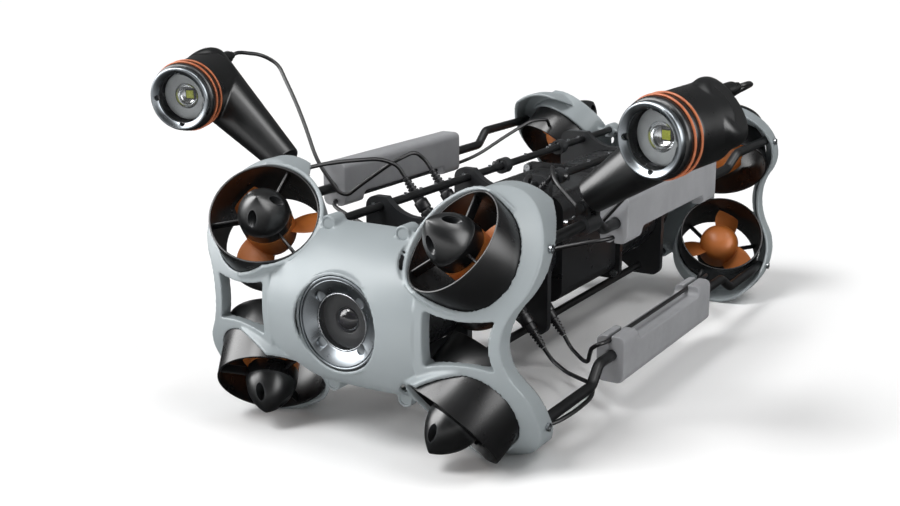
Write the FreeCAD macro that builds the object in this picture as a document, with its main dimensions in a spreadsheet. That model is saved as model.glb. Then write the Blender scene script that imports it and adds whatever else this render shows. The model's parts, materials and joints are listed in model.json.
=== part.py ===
import FreeCAD, Part
import math
import os
import Sketcher
from FreeCAD import Matrix, Placement, Rotation, Vector

# Underwater inspection vehicle: eight tilted thrusters in two moulded end frames,
# tied together by four inner tubes and four side bars, round a dry hull.
# X points to port, Y points aft, Z points up.  Y = 0 is the middle of the length.
# Stations are measured aft from the front socket faces; heights from the centre plane.

SIZES = [
    # alias, value in mm or degrees, what it is
    ("half_length", 226.0, "front socket faces to the middle of the length"),
    ("lobe_x", 89.0, "centre of a frame lobe, from the middle"),
    ("lobe_z", 49.5, "centre of a frame lobe, from the centre plane"),
    ("lobe_radius", 39.0, "outer radius of a frame lobe"),
    ("waist_x", 111.0, "frame's outer edge at the centre plane"),
    ("skin", 2.6, "moulded wall of the end frames"),
    ("rim_depth", 13.0, "depth of the frame's side wall"),
    ("face_front", 34.5, "frame face ahead of the sockets"),
    ("face_bulge", 105.0, "upright curve of the frame face"),
    ("face_sweep", 450.0, "sideways curve of the frame face"),
    ("nose_front", 38.0, "nose barrel ahead of the sockets"),
    ("nose_bulge", 56.0, "upright curve of the nose barrel"),
    ("nose_sweep", 260.0, "sideways curve of the nose barrel"),
    ("nose_half", 56.0, "half width of the nose barrel"),
    ("nose_back", 14.0, "nose barrel's rear edge behind the sockets"),
    ("opening_inner", 62.0, "side opening, inner edge"),
    ("opening_outer", 107.0, "side opening, outer corners"),
    ("opening_waist", 103.5, "side opening, outer edge at the centre plane"),
    ("opening_inner_z", 18.0, "side opening, inner corner height"),
    ("opening_outer_z", 16.0, "side opening, outer corner height"),
    ("opening_mid_z", 13.8, "side opening, least half height"),
    ("opening_depth", 10.0, "depth of the side opening's wall"),
    ("port_radius", 31.3, "bore for the camera bezel"),
    ("port_lip", 2.4, "width of the lip round that bore"),
    ("port_front", 30.8, "lip ahead of the sockets"),
    ("port_back", 4.0, "rear end of the lip's tube, ahead of the sockets"),
    ("socket_x", 29.0, "tube socket from the middle"),
    ("socket_z", 54.85, "tube socket from the centre plane"),
    ("socket_radius", 5.75, "outer radius of a tube socket"),
    ("socket_length", 14.0, "length of a tube socket"),
    ("rail_pitch", 20.0, "spacing of the screws along the upper tubes"),
    ("rail_start", 52.0, "first of those screws, station"),
    ("rail_hole", 1.25, "open accessory hole in an upper tube"),
    ("rail_depth", 4.5, "depth of that hole"),
    ("rail_first", 252.0, "first pair of accessory holes, station"),
    ("rail_spacing", 40.0, "second pair of accessory holes behind the first"),
    ("socket_bore", 3.9, "recess in a socket's face"),
    ("plug_depth", 3.0, "recess depth of a socket's face"),
    ("tube_radius", 3.0, "inner tube"),
    ("running_gap", 0.05, "radial clearance of a tube, pin or shaft"),
    ("fit_gap", 0.3, "clearance between parts that are not joined"),
    ("duct_face", 12.3, "duct rim centre ahead of the sockets"),
    ("duct_x", 72.1, "duct rim centre from the middle"),
    ("duct_z", 59.7, "duct rim centre from the centre plane"),
    ("duct_tilt", 40.84, "thruster axis above the horizontal"),
    ("duct_toe", 26.05, "thruster axis turned inward"),
    ("duct_radius", 36.7, "outer radius of a duct"),
    ("duct_wall", 1.5, "wall of a duct"),
    ("duct_length", 46.0, "length of a duct"),
    ("collar_wall", 3.0, "frame's collar round a duct"),
    ("collar_length", 22.0, "length of that collar"),
    ("collar_drop", 1.0, "collar's edge behind the duct's rim"),
    ("collar_turn", 337.0, "side where the collar falls away, round the thruster's axis"),
    ("rim_fall", 4.5, "duct's rim falls back by this on the collar's side"),
    ("pod_radius", 17.5, "thruster pod"),
    ("pod_front", 1.0, "pod housing starts behind the rim"),
    ("pod_length", 10.0, "length of the pod housing"),
    ("nose_tip", 21.9, "thruster nose ahead of the rim"),
    ("nose_hole", 3.1, "half width of the nose's oval drain holes"),
    ("nose_hole_front", 12.0, "middle of those holes ahead of the rim"),
    ("strut_front", 4.0, "struts start behind the rim"),
    ("strut_depth", 6.5, "struts along the axis"),
    ("strut_width", 1.8, "thickness of a strut"),
    ("stator_radius", 9.0, "motor stator inside the propeller hub"),
    ("stator_length", 13.0, "length of the motor stator"),
    ("hub_radius", 17.2, "propeller hub"),
    ("hub_length", 29.0, "length of the propeller hub"),
    ("blade_tip", 33.4, "propeller tip radius"),
    ("blade_chord", 25.0, "blade width at the hub"),
    ("blade_pitch", 38.0, "blade angle at the hub"),
    ("blade_thickness", 2.0, "blade thickness"),
    ("bar_radius", 3.75, "side bar"),
    ("bar_x", 120.3, "side bar's end runs from the middle"),
    ("bar_z", 57.5, "side bar's end runs from the centre plane"),
    ("bar_mid_x", 118.0, "side bar's middle run from the middle"),
    ("bar_mid_z", 47.0, "side bar's middle run from the centre plane"),
    ("bar_start", 6.8, "side bar's end, station"),
    ("bar_bend", 88.0, "side bar's crank starts at this station"),
    ("bar_bend_run", 17.0, "length of the crank"),
    ("float_inner", 106.5, "float block's inner side"),
    ("float_outer", 127.5, "float block's outer side"),
    ("float_low", 41.0, "float block's edge next to the centre plane"),
    ("float_high", 67.0, "float block's far edge"),
    ("float_hook", 33.0, "tip of the block's end collars"),
    ("float_start", 125.0, "float block's front, station"),
    ("float_length", 170.0, "length of a float block"),
    ("float_collar", 25.0, "length of the block's end collars"),
    ("hook_x", 116.0, "cable hook from the middle"),
    ("hook_z", 36.5, "cable hook from the centre plane"),
    ("cable_radius", 1.5, "thruster and light cables"),
    ("housing_radius", 38.0, "camera housing"),
    ("housing_wall", 4.0, "wall of the camera housing"),
    ("housing_start", 3.0, "camera housing's front, station"),
    ("housing_length", 196.0, "length of the camera housing"),
    ("box_half", 42.0, "half width of the battery box"),
    ("box_gap", 1.0, "battery box's front behind the camera housing"),
    ("box_length", 100.0, "length of the battery box"),
    ("flange_half", 46.0, "half width of the battery box's flange"),
    ("flange_depth", 5.0, "thickness of that flange"),
    ("drum_radius", 47.0, "rear drum"),
    ("cap_length", 18.0, "length of the drum's end cap"),
    ("tail_length", 64.8, "blanking plate behind that cap"),
    ("bracket_first", 60.0, "first hull bracket, station"),
    ("bracket_second", 178.0, "second hull bracket, station"),
    ("bracket_last", 20.0, "last hull bracket ahead of the drum's cap"),
    ("bracket_depth", 6.0, "thickness of the hull brackets"),
    ("bracket_edge", 4.0, "bracket's edge beyond the tubes"),
    ("bracket_notch", 30.0, "radius of the notches in the brackets"),
    ("notch_offset", 18.0, "notch's centre beyond the bracket's edge"),
    ("tube_clamp_wall", 3.2, "wall of the round clamps on the tubes"),
    ("tube_clamp_length", 9.0, "length of those clamps"),
    ("light_x", 179.7, "light's bezel centre from the middle"),
    ("light_z", 122.5, "light's bezel centre from the centre plane"),
    ("light_station", 27.4, "light's bezel centre, station"),
    ("light_toe", 14.9, "light turned inward"),
    ("light_dip", 5.2, "light dipped below the horizontal"),
    ("light_radius", 24.6, "light head"),
    ("light_length", 52.0, "light head, bezel face to the arm's middle"),
    ("light_cavity", 18.0, "light head's front cavity"),
    ("light_lead", 15.0, "light's cable gland above the head's axis"),
    ("ring_front", 11.0, "first O-ring behind the bezel face"),
    ("ring_pitch", 6.5, "second O-ring behind the first"),
    ("bezel_radius", 23.0, "light bezel"),
    ("arm_top", 24.4, "arm radius at its upper end"),
    ("arm_over", 20.0, "arm runs on past the head's axis"),
    ("arm_foot", 11.5, "arm radius at its foot"),
    ("arm_foot_x", 122.3, "arm foot from the middle"),
    ("arm_foot_z", 75.2, "arm foot from the centre plane"),
    ("arm_station", 75.0, "arm foot, station"),
    ("pivot_x", 120.3, "light pivot from the middle"),
    ("pivot_z", 69.0, "light pivot from the centre plane"),
    ("pivot_radius", 2.4, "light pivot pin"),
    ("pivot_eye", 4.6, "eye round the pivot pin"),
    ("tongue_half", 3.8, "half thickness of the arm's tongue"),
    ("clamp_half", 9.0, "half length of the light clamp"),
    ("clamp_radius", 6.6, "light clamp round the side bar"),
    ("plug_radius", 4.2, "cable connector"),
    ("plug_reach", 80.0, "cable connector's outer end from the axis"),
    ("plug_seat", 39.0, "cable connector's foot from the axis"),
]

doc = FreeCAD.newDocument("inspection_vehicle")
sheet = doc.addObject("Spreadsheet::Sheet", "sizes")
for row, (alias, value, note) in enumerate(SIZES, start=1):
    sheet.set("A%d" % row, note)
    sheet.set("B%d" % row, str(value))
    sheet.setAlias("B%d" % row, alias)
doc.recompute()


class Sizes:
    """Reads a driving size from the sheet by its alias."""

    def __getattr__(self, alias):
        return float(sheet.get(alias))


S = Sizes()
NODES = []
MID_HEIGHT = "sizes.lobe_z + sizes.lobe_radius"
BOX_START = "(sizes.housing_start + sizes.housing_length + sizes.box_gap)"
DRUM_START = "(%s + sizes.box_length + sizes.flange_depth)" % BOX_START
TAIL_START = "(2 * sizes.half_length + sizes.port_front - sizes.tail_length)"
CAP_START = "(%s - sizes.cap_length)" % TAIL_START
ALONG_Y = Rotation(Vector(1, 0, 0), -90)
AFT = Vector(0, 1, 0)
SIDES = (("port", 1), ("stbd", -1))
LEVELS = (("upper", 1), ("lower", -1))
ENDS = (("front", 1), ("rear", -1))
STRUT_ANGLES = (91, 211, 331)
NOSE_HOLE_ANGLES = (30, 150, 270)


# ---------------------------------------------------------------- small helpers
def value(text):
    """The number that a sheet expression stands for."""
    return float(sheet.evalExpression(text))


def at(station, x, z):
    """A point from its station, its offset to port and its height."""
    return Vector(x, station - S.half_length, z)


def node(item, label):
    """Names a finished sub-part and lifts it so that the vehicle stands on Z = 0."""
    item.Label = label
    item.setExpression("Placement.Base.z", MID_HEIGHT)
    NODES.append(item)
    return item


def feature(label, shape):
    """A sub-part whose shape comes from Part's own functions."""
    item = doc.addObject("Part::Feature", label)
    item.Shape = Part.makeCompound([shape])
    return node(item, label)


def rod(name, radius, length, place):
    """A cylinder that lies fore and aft; every size is a sheet expression."""
    item = doc.addObject("Part::Cylinder", name)
    item.Placement = Placement(Vector(), ALONG_Y)
    item.setExpression("Radius", radius)
    item.setExpression("Height", length)
    for axis, text in zip("xyz", place):
        item.setExpression("Placement.Base." + axis, text)
    return item


def group(label, members):
    """One sub-part made of several separate, like solids."""
    item = doc.addObject("Part::Compound", label)
    item.Links = members
    return node(item, label)


def mirrored(label, source, normal):
    """The mirror image of a finished sub-part about a middle plane of the vehicle."""
    item = doc.addObject("Part::Mirroring", label)
    item.Source = source
    item.Normal = normal
    item.setExpression("Base.z", MID_HEIGHT)
    item.Label = label
    NODES.append(item)
    return item


def origin_plane(body, role):
    """One of a body's own origin planes."""
    return next(plane for plane in body.Origin.OriginFeatures if plane.Role == role)


def new_sketch(body, role, corners):
    """A closed outline on an origin plane; each corner is a pair of expressions."""
    sketch = body.newObject("Sketcher::SketchObject", body.Name + "_outline")
    sketch.AttachmentSupport = [(origin_plane(body, role), "")]
    sketch.MapMode = "FlatFace"
    points = [Vector(value(a), value(b), 0) for a, b in corners]
    count = len(points)
    for i in range(count):
        sketch.addGeometry(Part.LineSegment(points[i], points[(i + 1) % count]), False)
    for i in range(count):
        sketch.addConstraint(Sketcher.Constraint("Coincident", i, 2, (i + 1) % count, 1))
    for i, pair in enumerate(corners):
        for kind, axis, text in zip(("DistanceX", "DistanceY"), (-2, -1), pair):
            if text == "0":
                sketch.addConstraint(Sketcher.Constraint("PointOnObject", i, 1, axis))
                continue
            rule = Sketcher.Constraint(kind, -1, 1, i, 1, value(text))
            index = sketch.addConstraint(rule)
            sketch.setExpression("Constraints[%d]" % index, text)
    return sketch


def turned(label, station, corners):
    """A body turned about the fore-and-aft axis; corners are (length, radius)."""
    body = doc.addObject("PartDesign::Body", label)
    sketch = new_sketch(body, "YZ_Plane", corners)
    turn = body.newObject("PartDesign::Revolution", label + "_turn")
    turn.Profile = sketch
    turn.ReferenceAxis = (sketch, ["H_Axis"])
    turn.Angle = 360
    body.setExpression("Placement.Base.y", "%s - sizes.half_length" % station)
    return node(body, label)


def cylinder(centre, direction, radius, length):
    return Part.makeCylinder(radius, length, centre, direction)


def block(x0, x1, y0, y1, z0, z1):
    return Part.makeBox(x1 - x0, y1 - y0, z1 - z0, Vector(x0, y0, z0))


def fused(shapes):
    return shapes[0].multiFuse(shapes[1:])


def reflected(shape, x, y, z):
    """Mirrors a shape in each middle plane whose sign is negative."""
    for sign, normal in ((x, Vector(1, 0, 0)), (y, Vector(0, 1, 0)), (z, Vector(0, 0, 1))):
        if sign < 0:
            shape = shape.mirror(Vector(), normal)
    return shape


def four_ways(shape):
    """The shape in all four quarters round the fore-and-aft axis."""
    return [reflected(shape, x, 1, z) for x in (1, -1) for z in (1, -1)]


def axes(origin, forward, hint):
    """A placement whose Z looks forward and whose X leans towards the hint."""
    z = Vector(forward).normalize()
    x = (hint - z * hint.dot(z)).normalize()
    y = z.cross(x)
    return Placement(Matrix(x.x, y.x, z.x, origin.x, x.y, y.y, z.y, origin.y,
                            x.z, y.z, z.z, origin.z, 0, 0, 0, 1))


def placed(shape, placement):
    shape = shape.copy()
    shape.Placement = placement.multiply(shape.Placement)
    return shape


def revolved(corners):
    """A solid turned about Z from (radius, height) corners."""
    wire = Part.makePolygon([Vector(r, 0, h) for r, h in corners + corners[:1]])
    return Part.Face(wire).revolve(Vector(), Vector(0, 0, 1), 360)


# ---------------------------------------------------------------- thruster frame
def duct_axis():
    """Local frame of the front port upper thruster: Z out of its nose, X outboard."""
    tilt = math.radians(S.duct_tilt)
    toe = math.radians(S.duct_toe)
    ahead = math.cos(tilt) * math.cos(toe)
    inward = math.cos(tilt) * math.sin(toe)
    nose = Vector(-inward, -ahead, math.sin(tilt))
    return axes(at(-S.duct_face, S.duct_x, S.duct_z), nose, Vector(1, 0, 0))


THRUSTER = duct_axis()


def spin(shape, degrees):
    return placed(shape, Placement(Vector(), Rotation(Vector(0, 0, 1), degrees)))


def clearance(inner, middle, outer):
    """All that stands above a bent line across a thruster, from its collar's side outward."""
    reach = 2 * S.duct_radius
    line = [(-reach, inner), (0, middle), (reach, outer), (reach, reach), (-reach, reach)]
    wire = Part.makePolygon([Vector(s, -reach, height) for s, height in line + line[:1]])
    prism = Part.Face(wire).extrude(Vector(0, 2 * reach, 0))
    return spin(prism, S.collar_turn)


# ---------------------------------------------------------------- end frames
def barrel(front, bulge, sweep, inset):
    """A face curved both ways, as a solid behind it, pulled in by an inset."""
    centre = at(sweep - front, 0, 0)
    return Part.makeTorus(sweep - bulge, bulge - inset, centre, Vector(0, 0, 1))


def face_solid(inset):
    return barrel(S.face_front, S.face_bulge, S.face_sweep, inset)


def nose_solid(inset):
    return barrel(S.nose_front, S.nose_bulge, S.nose_sweep, inset)


def outline(inset, front, back):
    """The frame's four-lobed outline as a prism between two stations."""
    run = back - front
    # the waist arc touches both lobes of a side and passes through waist_x
    reach = S.waist_x - S.lobe_x
    radius = (reach ** 2 + S.lobe_z ** 2 - S.lobe_radius ** 2) / (2 * (S.lobe_radius - reach))
    waist = Vector(S.waist_x + radius, 0, 0)
    lobe = Vector(S.lobe_x, 0, S.lobe_z)
    touch = waist + (lobe - waist) * ((radius + inset) / (radius + S.lobe_radius))
    parts = [block(-touch.x, touch.x, at(front, 0, 0).y, at(back, 0, 0).y, -touch.z, touch.z)]
    parts += four_ways(cylinder(at(front, S.lobe_x, S.lobe_z), AFT, S.lobe_radius - inset, run))
    solid = fused(parts)
    for side in (1, -1):
        cut = cylinder(at(front, side * waist.x, 0), AFT, radius + inset, run)
        solid = solid.cut(cut)
    return solid


def opening_prism(grow, front, back):
    """The side opening between two thrusters, to port, grown by a wall."""
    inner = Vector(S.opening_inner - grow, 0, 0)
    corner = Vector(S.opening_outer + grow, 0, 0)
    high_in = S.opening_inner_z + grow
    high_out = S.opening_outer_z + grow
    middle = Vector((S.opening_inner + S.opening_outer) / 2, 0, S.opening_mid_z + grow)
    waist = Vector(S.opening_waist + grow, 0, 0)
    a = Vector(inner.x, 0, -high_in)
    b = Vector(inner.x, 0, high_in)
    c = Vector(corner.x, 0, high_out)
    d = Vector(corner.x, 0, -high_out)
    below = Vector(middle.x, 0, -middle.z)
    edges = [Part.LineSegment(a, b), Part.Arc(b, middle, c), Part.Arc(c, waist, d), Part.Arc(d, below, a)]
    face = Part.Face(Part.Wire([edge.toShape() for edge in edges]))
    face.translate(at(front, 0, 0))
    return face.extrude(Vector(0, back - front, 0))


def frame_shape():
    """The front end frame; the rear one is its mirror image."""
    ahead = -S.nose_front - 8
    behind = 40.0
    y_ahead = at(ahead, 0, 0).y
    high = S.lobe_z + S.lobe_radius
    face = face_solid(0)
    nose = nose_solid(0)
    prism = outline(0, ahead, behind)
    middle = block(-S.nose_half, S.nose_half, y_ahead, at(behind, 0, 0).y, -high, high)
    barrel_zone = block(-S.nose_half, S.nose_half, y_ahead, at(S.nose_back, 0, 0).y,
                        -S.nose_bulge, S.nose_bulge)
    wings = prism.cut(middle)
    skin = wings.common(face).cut(face_solid(S.skin))
    wall = wings.cut(outline(S.skin, ahead, behind)).common(face).cut(face_solid(S.rim_depth))
    shell = barrel_zone.common(nose).cut(nose_solid(S.skin))
    pieces = [skin, wall, shell]

    def along(radius, low, high_end):
        tube = Part.makeCylinder(radius, high_end - low, Vector(0, 0, low))
        return placed(tube, THRUSTER)

    bore = S.duct_radius + S.fit_gap
    top = -S.collar_drop
    collar = along(bore + S.collar_wall, -S.collar_length, 0)
    collar = collar.cut(placed(clearance(top, top, top - 2 * S.duct_radius), THRUSTER))
    collar = collar.common(block(0, 2 * S.lobe_x, y_ahead, 0, -high, high))
    pieces += four_ways(collar)

    openings = []
    for side in (1, -1):
        frame = opening_prism(S.skin, ahead, behind).common(face)
        frame = frame.cut(face_solid(S.opening_depth))
        pieces.append(reflected(frame, side, 1, 1))
        openings.append(reflected(opening_prism(0, ahead, behind), side, 1, 1))

    lip = cylinder(at(-S.port_front, 0, 0), AFT, S.port_radius + S.port_lip, S.port_front - S.port_back)
    pieces.append(lip)
    socket = cylinder(at(0, S.socket_x, S.socket_z), AFT, S.socket_radius, S.socket_length)
    neck = block(S.socket_x - S.socket_radius * 0.7, S.socket_x + S.socket_radius * 0.7,
                 at(1, 0, 0).y, at(S.socket_length, 0, 0).y,
                 S.nose_bulge - 3 * S.skin, S.socket_z)
    pieces += four_ways(socket) + four_ways(neck)
    screw_pad = block(S.bar_x - 1.5, S.bar_x + S.bar_radius, at(-2, 0, 0).y, at(12, 0, 0).y, 50, 54)
    pieces += four_ways(screw_pad.common(wings).cut(outline(S.skin, ahead, behind)))
    solid = fused(pieces)

    cuts = four_ways(along(bore, -80, 80))
    cuts += four_ways(along(bore + S.collar_wall + S.fit_gap, top, 60))
    cuts += openings
    cuts.append(cylinder(at(ahead, 0, 0), AFT, S.port_radius, 60))
    tube_hole = S.tube_radius + S.running_gap
    cuts += four_ways(cylinder(at(-1, S.socket_x, S.socket_z), AFT, tube_hole, 40))
    cuts += four_ways(cylinder(at(-1, S.socket_x, S.socket_z), AFT, S.socket_bore, S.plug_depth + 1))
    for cut in cuts:
        solid = solid.cut(cut)
    return solid


def end_frames():
    front = feature("front_frame", frame_shape())
    mirrored("rear_frame", front, Vector(0, 1, 0))


# ---------------------------------------------------------------- thrusters
def duct_shape():
    """Duct, three flat struts and the pod housing, moulded in one."""
    outer = Part.makeCylinder(S.duct_radius, S.duct_length, Vector(0, 0, -S.duct_length))
    inner_radius = S.duct_radius - S.duct_wall
    inner = Part.makeCylinder(inner_radius, S.duct_length + 2, Vector(0, 0, -S.duct_length - 1))
    front = -S.pod_front
    back = front - S.pod_length
    housing = revolved([(0, back), (S.pod_radius - 1.0, back), (S.pod_radius, back + 1.5),
                        (S.pod_radius, front), (0, front)])
    top = -S.strut_front
    reach = inner_radius + S.duct_wall / 2 - S.pod_radius / 2
    blade = Part.makeBox(reach, S.strut_width, S.strut_depth,
                         Vector(S.pod_radius / 2, -S.strut_width / 2, top - S.strut_depth))
    shell = outer.cut(inner).cut(clearance(-2 * S.rim_fall, 0, 0))
    parts = [shell, housing] + [spin(blade, angle) for angle in STRUT_ANGLES]
    return placed(fused(parts), THRUSTER)


def nose_shape():
    """Pointed nose in front of the pod, with three oval drain holes."""
    base = -S.pod_front
    length = S.nose_tip - base
    radius = S.pod_radius
    arc = Part.Arc(Vector(radius, 0, base), Vector(radius * 0.74, 0, base + length * 0.5),
                   Vector(0.6, 0, S.nose_tip))
    edges = [arc.toShape(),
             Part.makeLine(Vector(0.6, 0, S.nose_tip), Vector(0, 0, S.nose_tip)),
             Part.makeLine(Vector(0, 0, S.nose_tip), Vector(0, 0, base)),
             Part.makeLine(Vector(0, 0, base), Vector(radius, 0, base))]
    solid = Part.Face(Part.Wire(edges)).revolve(Vector(), Vector(0, 0, 1), 360)
    r = S.nose_hole
    stretch = 0.6 * r
    ends = [Part.makeCylinder(r, radius, Vector(3, 0, S.nose_hole_front + shift), Vector(1, 0, 0))
            for shift in (-stretch, stretch)]
    between = Part.makeBox(radius, 2 * r, 2 * stretch, Vector(3, -r, S.nose_hole_front - stretch))
    hole = fused(ends + [between])
    for angle in NOSE_HOLE_ANGLES:
        solid = solid.cut(spin(hole, angle))
    return placed(solid, THRUSTER)


def stator_shape():
    """Fixed motor stator on which the propeller hub runs."""
    back = -S.pod_front - S.pod_length
    shape = Part.makeCylinder(S.stator_radius, S.stator_length, Vector(0, 0, back - S.stator_length))
    return placed(shape, THRUSTER)


def blade_section(radius, chord, pitch, middle):
    """A thin lens across the blade at one radius."""
    half = S.blade_thickness / 2
    a = Vector(radius, -chord / 2, 0)
    b = Vector(radius, chord / 2, 0)
    wire = Part.Wire([Part.Arc(a, Vector(radius, 0, half), b).toShape(),
                      Part.Arc(b, Vector(radius, 0, -half), a).toShape()])
    wire.rotate(Vector(), Vector(1, 0, 0), pitch)
    wire.translate(Vector(0, 0, middle))
    return wire


def propeller_shape():
    """Domed hub with three twisted blades; a recess in its front takes the stator."""
    front = -S.pod_front - S.pod_length - S.fit_gap
    back = front - S.hub_length
    radius = S.hub_radius
    shoulder = back + S.hub_length * 0.55
    dome = Part.Arc(Vector(radius, 0, shoulder), Vector(radius * 0.74, 0, back + S.hub_length * 0.14),
                    Vector(0.5, 0, back))
    edges = [dome.toShape(),
             Part.makeLine(Vector(0.5, 0, back), Vector(0, 0, back)),
             Part.makeLine(Vector(0, 0, back), Vector(0, 0, front)),
             Part.makeLine(Vector(0, 0, front), Vector(radius, 0, front)),
             Part.makeLine(Vector(radius, 0, front), Vector(radius, 0, shoulder))]
    hub = Part.Face(Part.Wire(edges)).revolve(Vector(), Vector(0, 0, 1), 360)
    middle = front - S.hub_length * 0.42
    root = S.hub_radius * 0.75
    span = S.blade_tip - root
    sections = [blade_section(root, S.blade_chord * 0.85, S.blade_pitch + 6, middle),
                blade_section(root + span * 0.5, S.blade_chord, S.blade_pitch - 6, middle),
                blade_section(S.blade_tip - 0.6, S.blade_chord * 0.8, S.blade_pitch - 14, middle)]
    blade = Part.makeLoft(sections, True)
    sweep = revolved([(0, back - 10), (S.blade_tip, back - 10), (S.blade_tip, front), (0, front)])
    blade = blade.common(sweep)
    solid = fused([hub] + [spin(blade, angle + 60) for angle in STRUT_ANGLES])
    bore = Part.makeCylinder(S.stator_radius + S.running_gap, S.stator_length + S.fit_gap,
                             Vector(0, 0, front - S.stator_length))
    return placed(solid.cut(bore), THRUSTER)


def eight_ways(name, shape):
    """One named sub-part at each thruster place, mirrored from the first."""
    made = {}
    for end, y in ENDS:
        for side, x in SIDES:
            for level, z in LEVELS:
                label = "%s_%s_%s_%s" % (name, end, side, level)
                if not made:
                    made[(y, x, z)] = feature(label, shape)
                elif z < 0:
                    made[(y, x, z)] = mirrored(label, made[(y, x, 1)], Vector(0, 0, 1))
                elif x < 0:
                    made[(y, x, z)] = mirrored(label, made[(y, 1, z)], Vector(1, 0, 0))
                else:
                    made[(y, x, z)] = mirrored(label, made[(1, x, z)], Vector(0, 1, 0))


def all_eight(shape):
    return Part.makeCompound([reflected(shape, x, y, z) for y in (1, -1) for x in (1, -1) for z in (1, -1)])


def thrusters():
    eight_ways("duct", duct_shape())
    eight_ways("propeller", propeller_shape())
    feature("thruster_noses", all_eight(nose_shape()))
    feature("motor_stators", all_eight(stator_shape()))


# ---------------------------------------------------------------- tubes and bars
def accessory_hole(name, station, x):
    """A blind hole that goes down into the top of an upper tube."""
    hole = doc.addObject("Part::Cylinder", name)
    hole.setExpression("Radius", "sizes.rail_hole")
    hole.setExpression("Height", "sizes.rail_depth + 1.0")
    hole.setExpression("Placement.Base.x", x)
    hole.setExpression("Placement.Base.y", station + " - sizes.half_length")
    hole.setExpression("Placement.Base.z", "sizes.socket_z + sizes.tube_radius - sizes.rail_depth")
    return hole


def inner_tubes():
    """Four tubes between the frames; the upper two have accessory holes."""
    members = []
    for side, x in SIDES:
        for level, z in LEVELS:
            name = "inner_tube_%s_%s" % (side, level)
            place_x = "sizes.socket_x" if x > 0 else "-sizes.socket_x"
            place_z = "sizes.socket_z" if z > 0 else "-sizes.socket_z"
            tube = rod(name, "sizes.tube_radius",
                       "2 * (sizes.half_length - sizes.plug_depth - sizes.fit_gap)",
                       (place_x, "sizes.plug_depth + sizes.fit_gap - sizes.half_length", place_z))
            if z > 0:
                for number, station in enumerate(("sizes.rail_first", "sizes.rail_first + sizes.rail_spacing")):
                    drilled = doc.addObject("Part::Cut", "%s_drilled_%d" % (name, number))
                    drilled.Base = tube
                    drilled.Tool = accessory_hole("%s_hole_%d" % (name, number), station, place_x)
                    tube = drilled
            members.append(tube)
    group("inner_tubes", members)


def socket_plugs():
    """Short end plugs in the faces of the eight tube sockets."""
    members = []
    length = "sizes.plug_depth - 1.0"
    for side, x in SIDES:
        for level, z in LEVELS:
            sign_x = "" if x > 0 else "-"
            sign_z = "" if z > 0 else "-"
            for end, start in (("front", "1.0 - sizes.half_length"),
                               ("rear", "sizes.half_length - sizes.plug_depth")):
                members.append(rod("plug_%s_%s_%s" % (end, side, level),
                                   "sizes.socket_bore - sizes.running_gap", length,
                                   (sign_x + "sizes.socket_x", start, sign_z + "sizes.socket_z")))
    group("socket_plugs", members)


def rounded_run(points, radii):
    """A wire of straight runs joined by tangent arcs, one radius for each inner point."""
    edges = []
    start = points[0]
    for i in range(1, len(points) - 1):
        before = (points[i - 1] - points[i]).normalize()
        after = (points[i + 1] - points[i]).normalize()
        half = math.pi / 2 - before.getAngle(after) / 2
        setback = radii[i - 1] * math.tan(half)
        a = points[i] + before * setback
        b = points[i] + after * setback
        bisector = (before + after).normalize()
        centre = points[i] + bisector * (radii[i - 1] / math.cos(half))
        middle = centre - bisector * radii[i - 1]
        edges.append(Part.makeLine(start, a))
        edges.append(Part.Arc(a, middle, b).toShape())
        start = b
    edges.append(Part.makeLine(start, points[-1]))
    return Part.Wire(edges)


def swept(wire, radius):
    """A round bar along a wire, checked against its section times its length."""
    edge = wire.Edges[0]
    start = edge.valueAt(edge.FirstParameter)
    direction = edge.tangentAt(edge.FirstParameter)
    section = Part.Wire(Part.makeCircle(radius, start, direction))
    solid = wire.makePipeShell([section], True, True)
    expected = math.pi * radius ** 2 * wire.Length
    if abs(solid.Volume / expected - 1) > 0.01:
        raise RuntimeError("a swept bar has the wrong volume")
    return solid


def side_bar():
    """Port upper side bar: straight through the float block, cranked at both ends."""
    length = 2 * S.half_length
    stations = [S.bar_start, S.bar_bend, S.bar_bend + S.bar_bend_run]
    points = [at(stations[0], S.bar_x, S.bar_z), at(stations[1], S.bar_x, S.bar_z),
              at(stations[2], S.bar_mid_x, S.bar_mid_z)]
    points += [at(length - stations[2], S.bar_mid_x, S.bar_mid_z),
               at(length - stations[1], S.bar_x, S.bar_z),
               at(length - stations[0], S.bar_x, S.bar_z)]
    bend = 3 * S.bar_radius
    return swept(rounded_run(points, [bend] * 4), S.bar_radius)


def side_bars():
    feature("side_bars", Part.makeCompound(four_ways(side_bar())))


def frame_screws():
    """Screws through the frames' rims into the side bars' ends."""
    screws = []
    x = S.lobe_x + math.sqrt(S.lobe_radius ** 2 - (S.bar_z - 1 - S.lobe_z) ** 2)
    station = S.bar_start + 3
    head = cylinder(at(station, x + 0.6, S.bar_z - 1), Vector(1, 0, 0), 2.7, 1.6)
    recess = cylinder(at(station, x + 1.4, S.bar_z - 1), Vector(1, 0, 0), 1.3, 2)
    screws += four_ways(head.cut(recess))
    both = screws + [reflected(screw, 1, -1, 1) for screw in screws]
    feature("frame_screws", Part.makeCompound(both))


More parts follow.
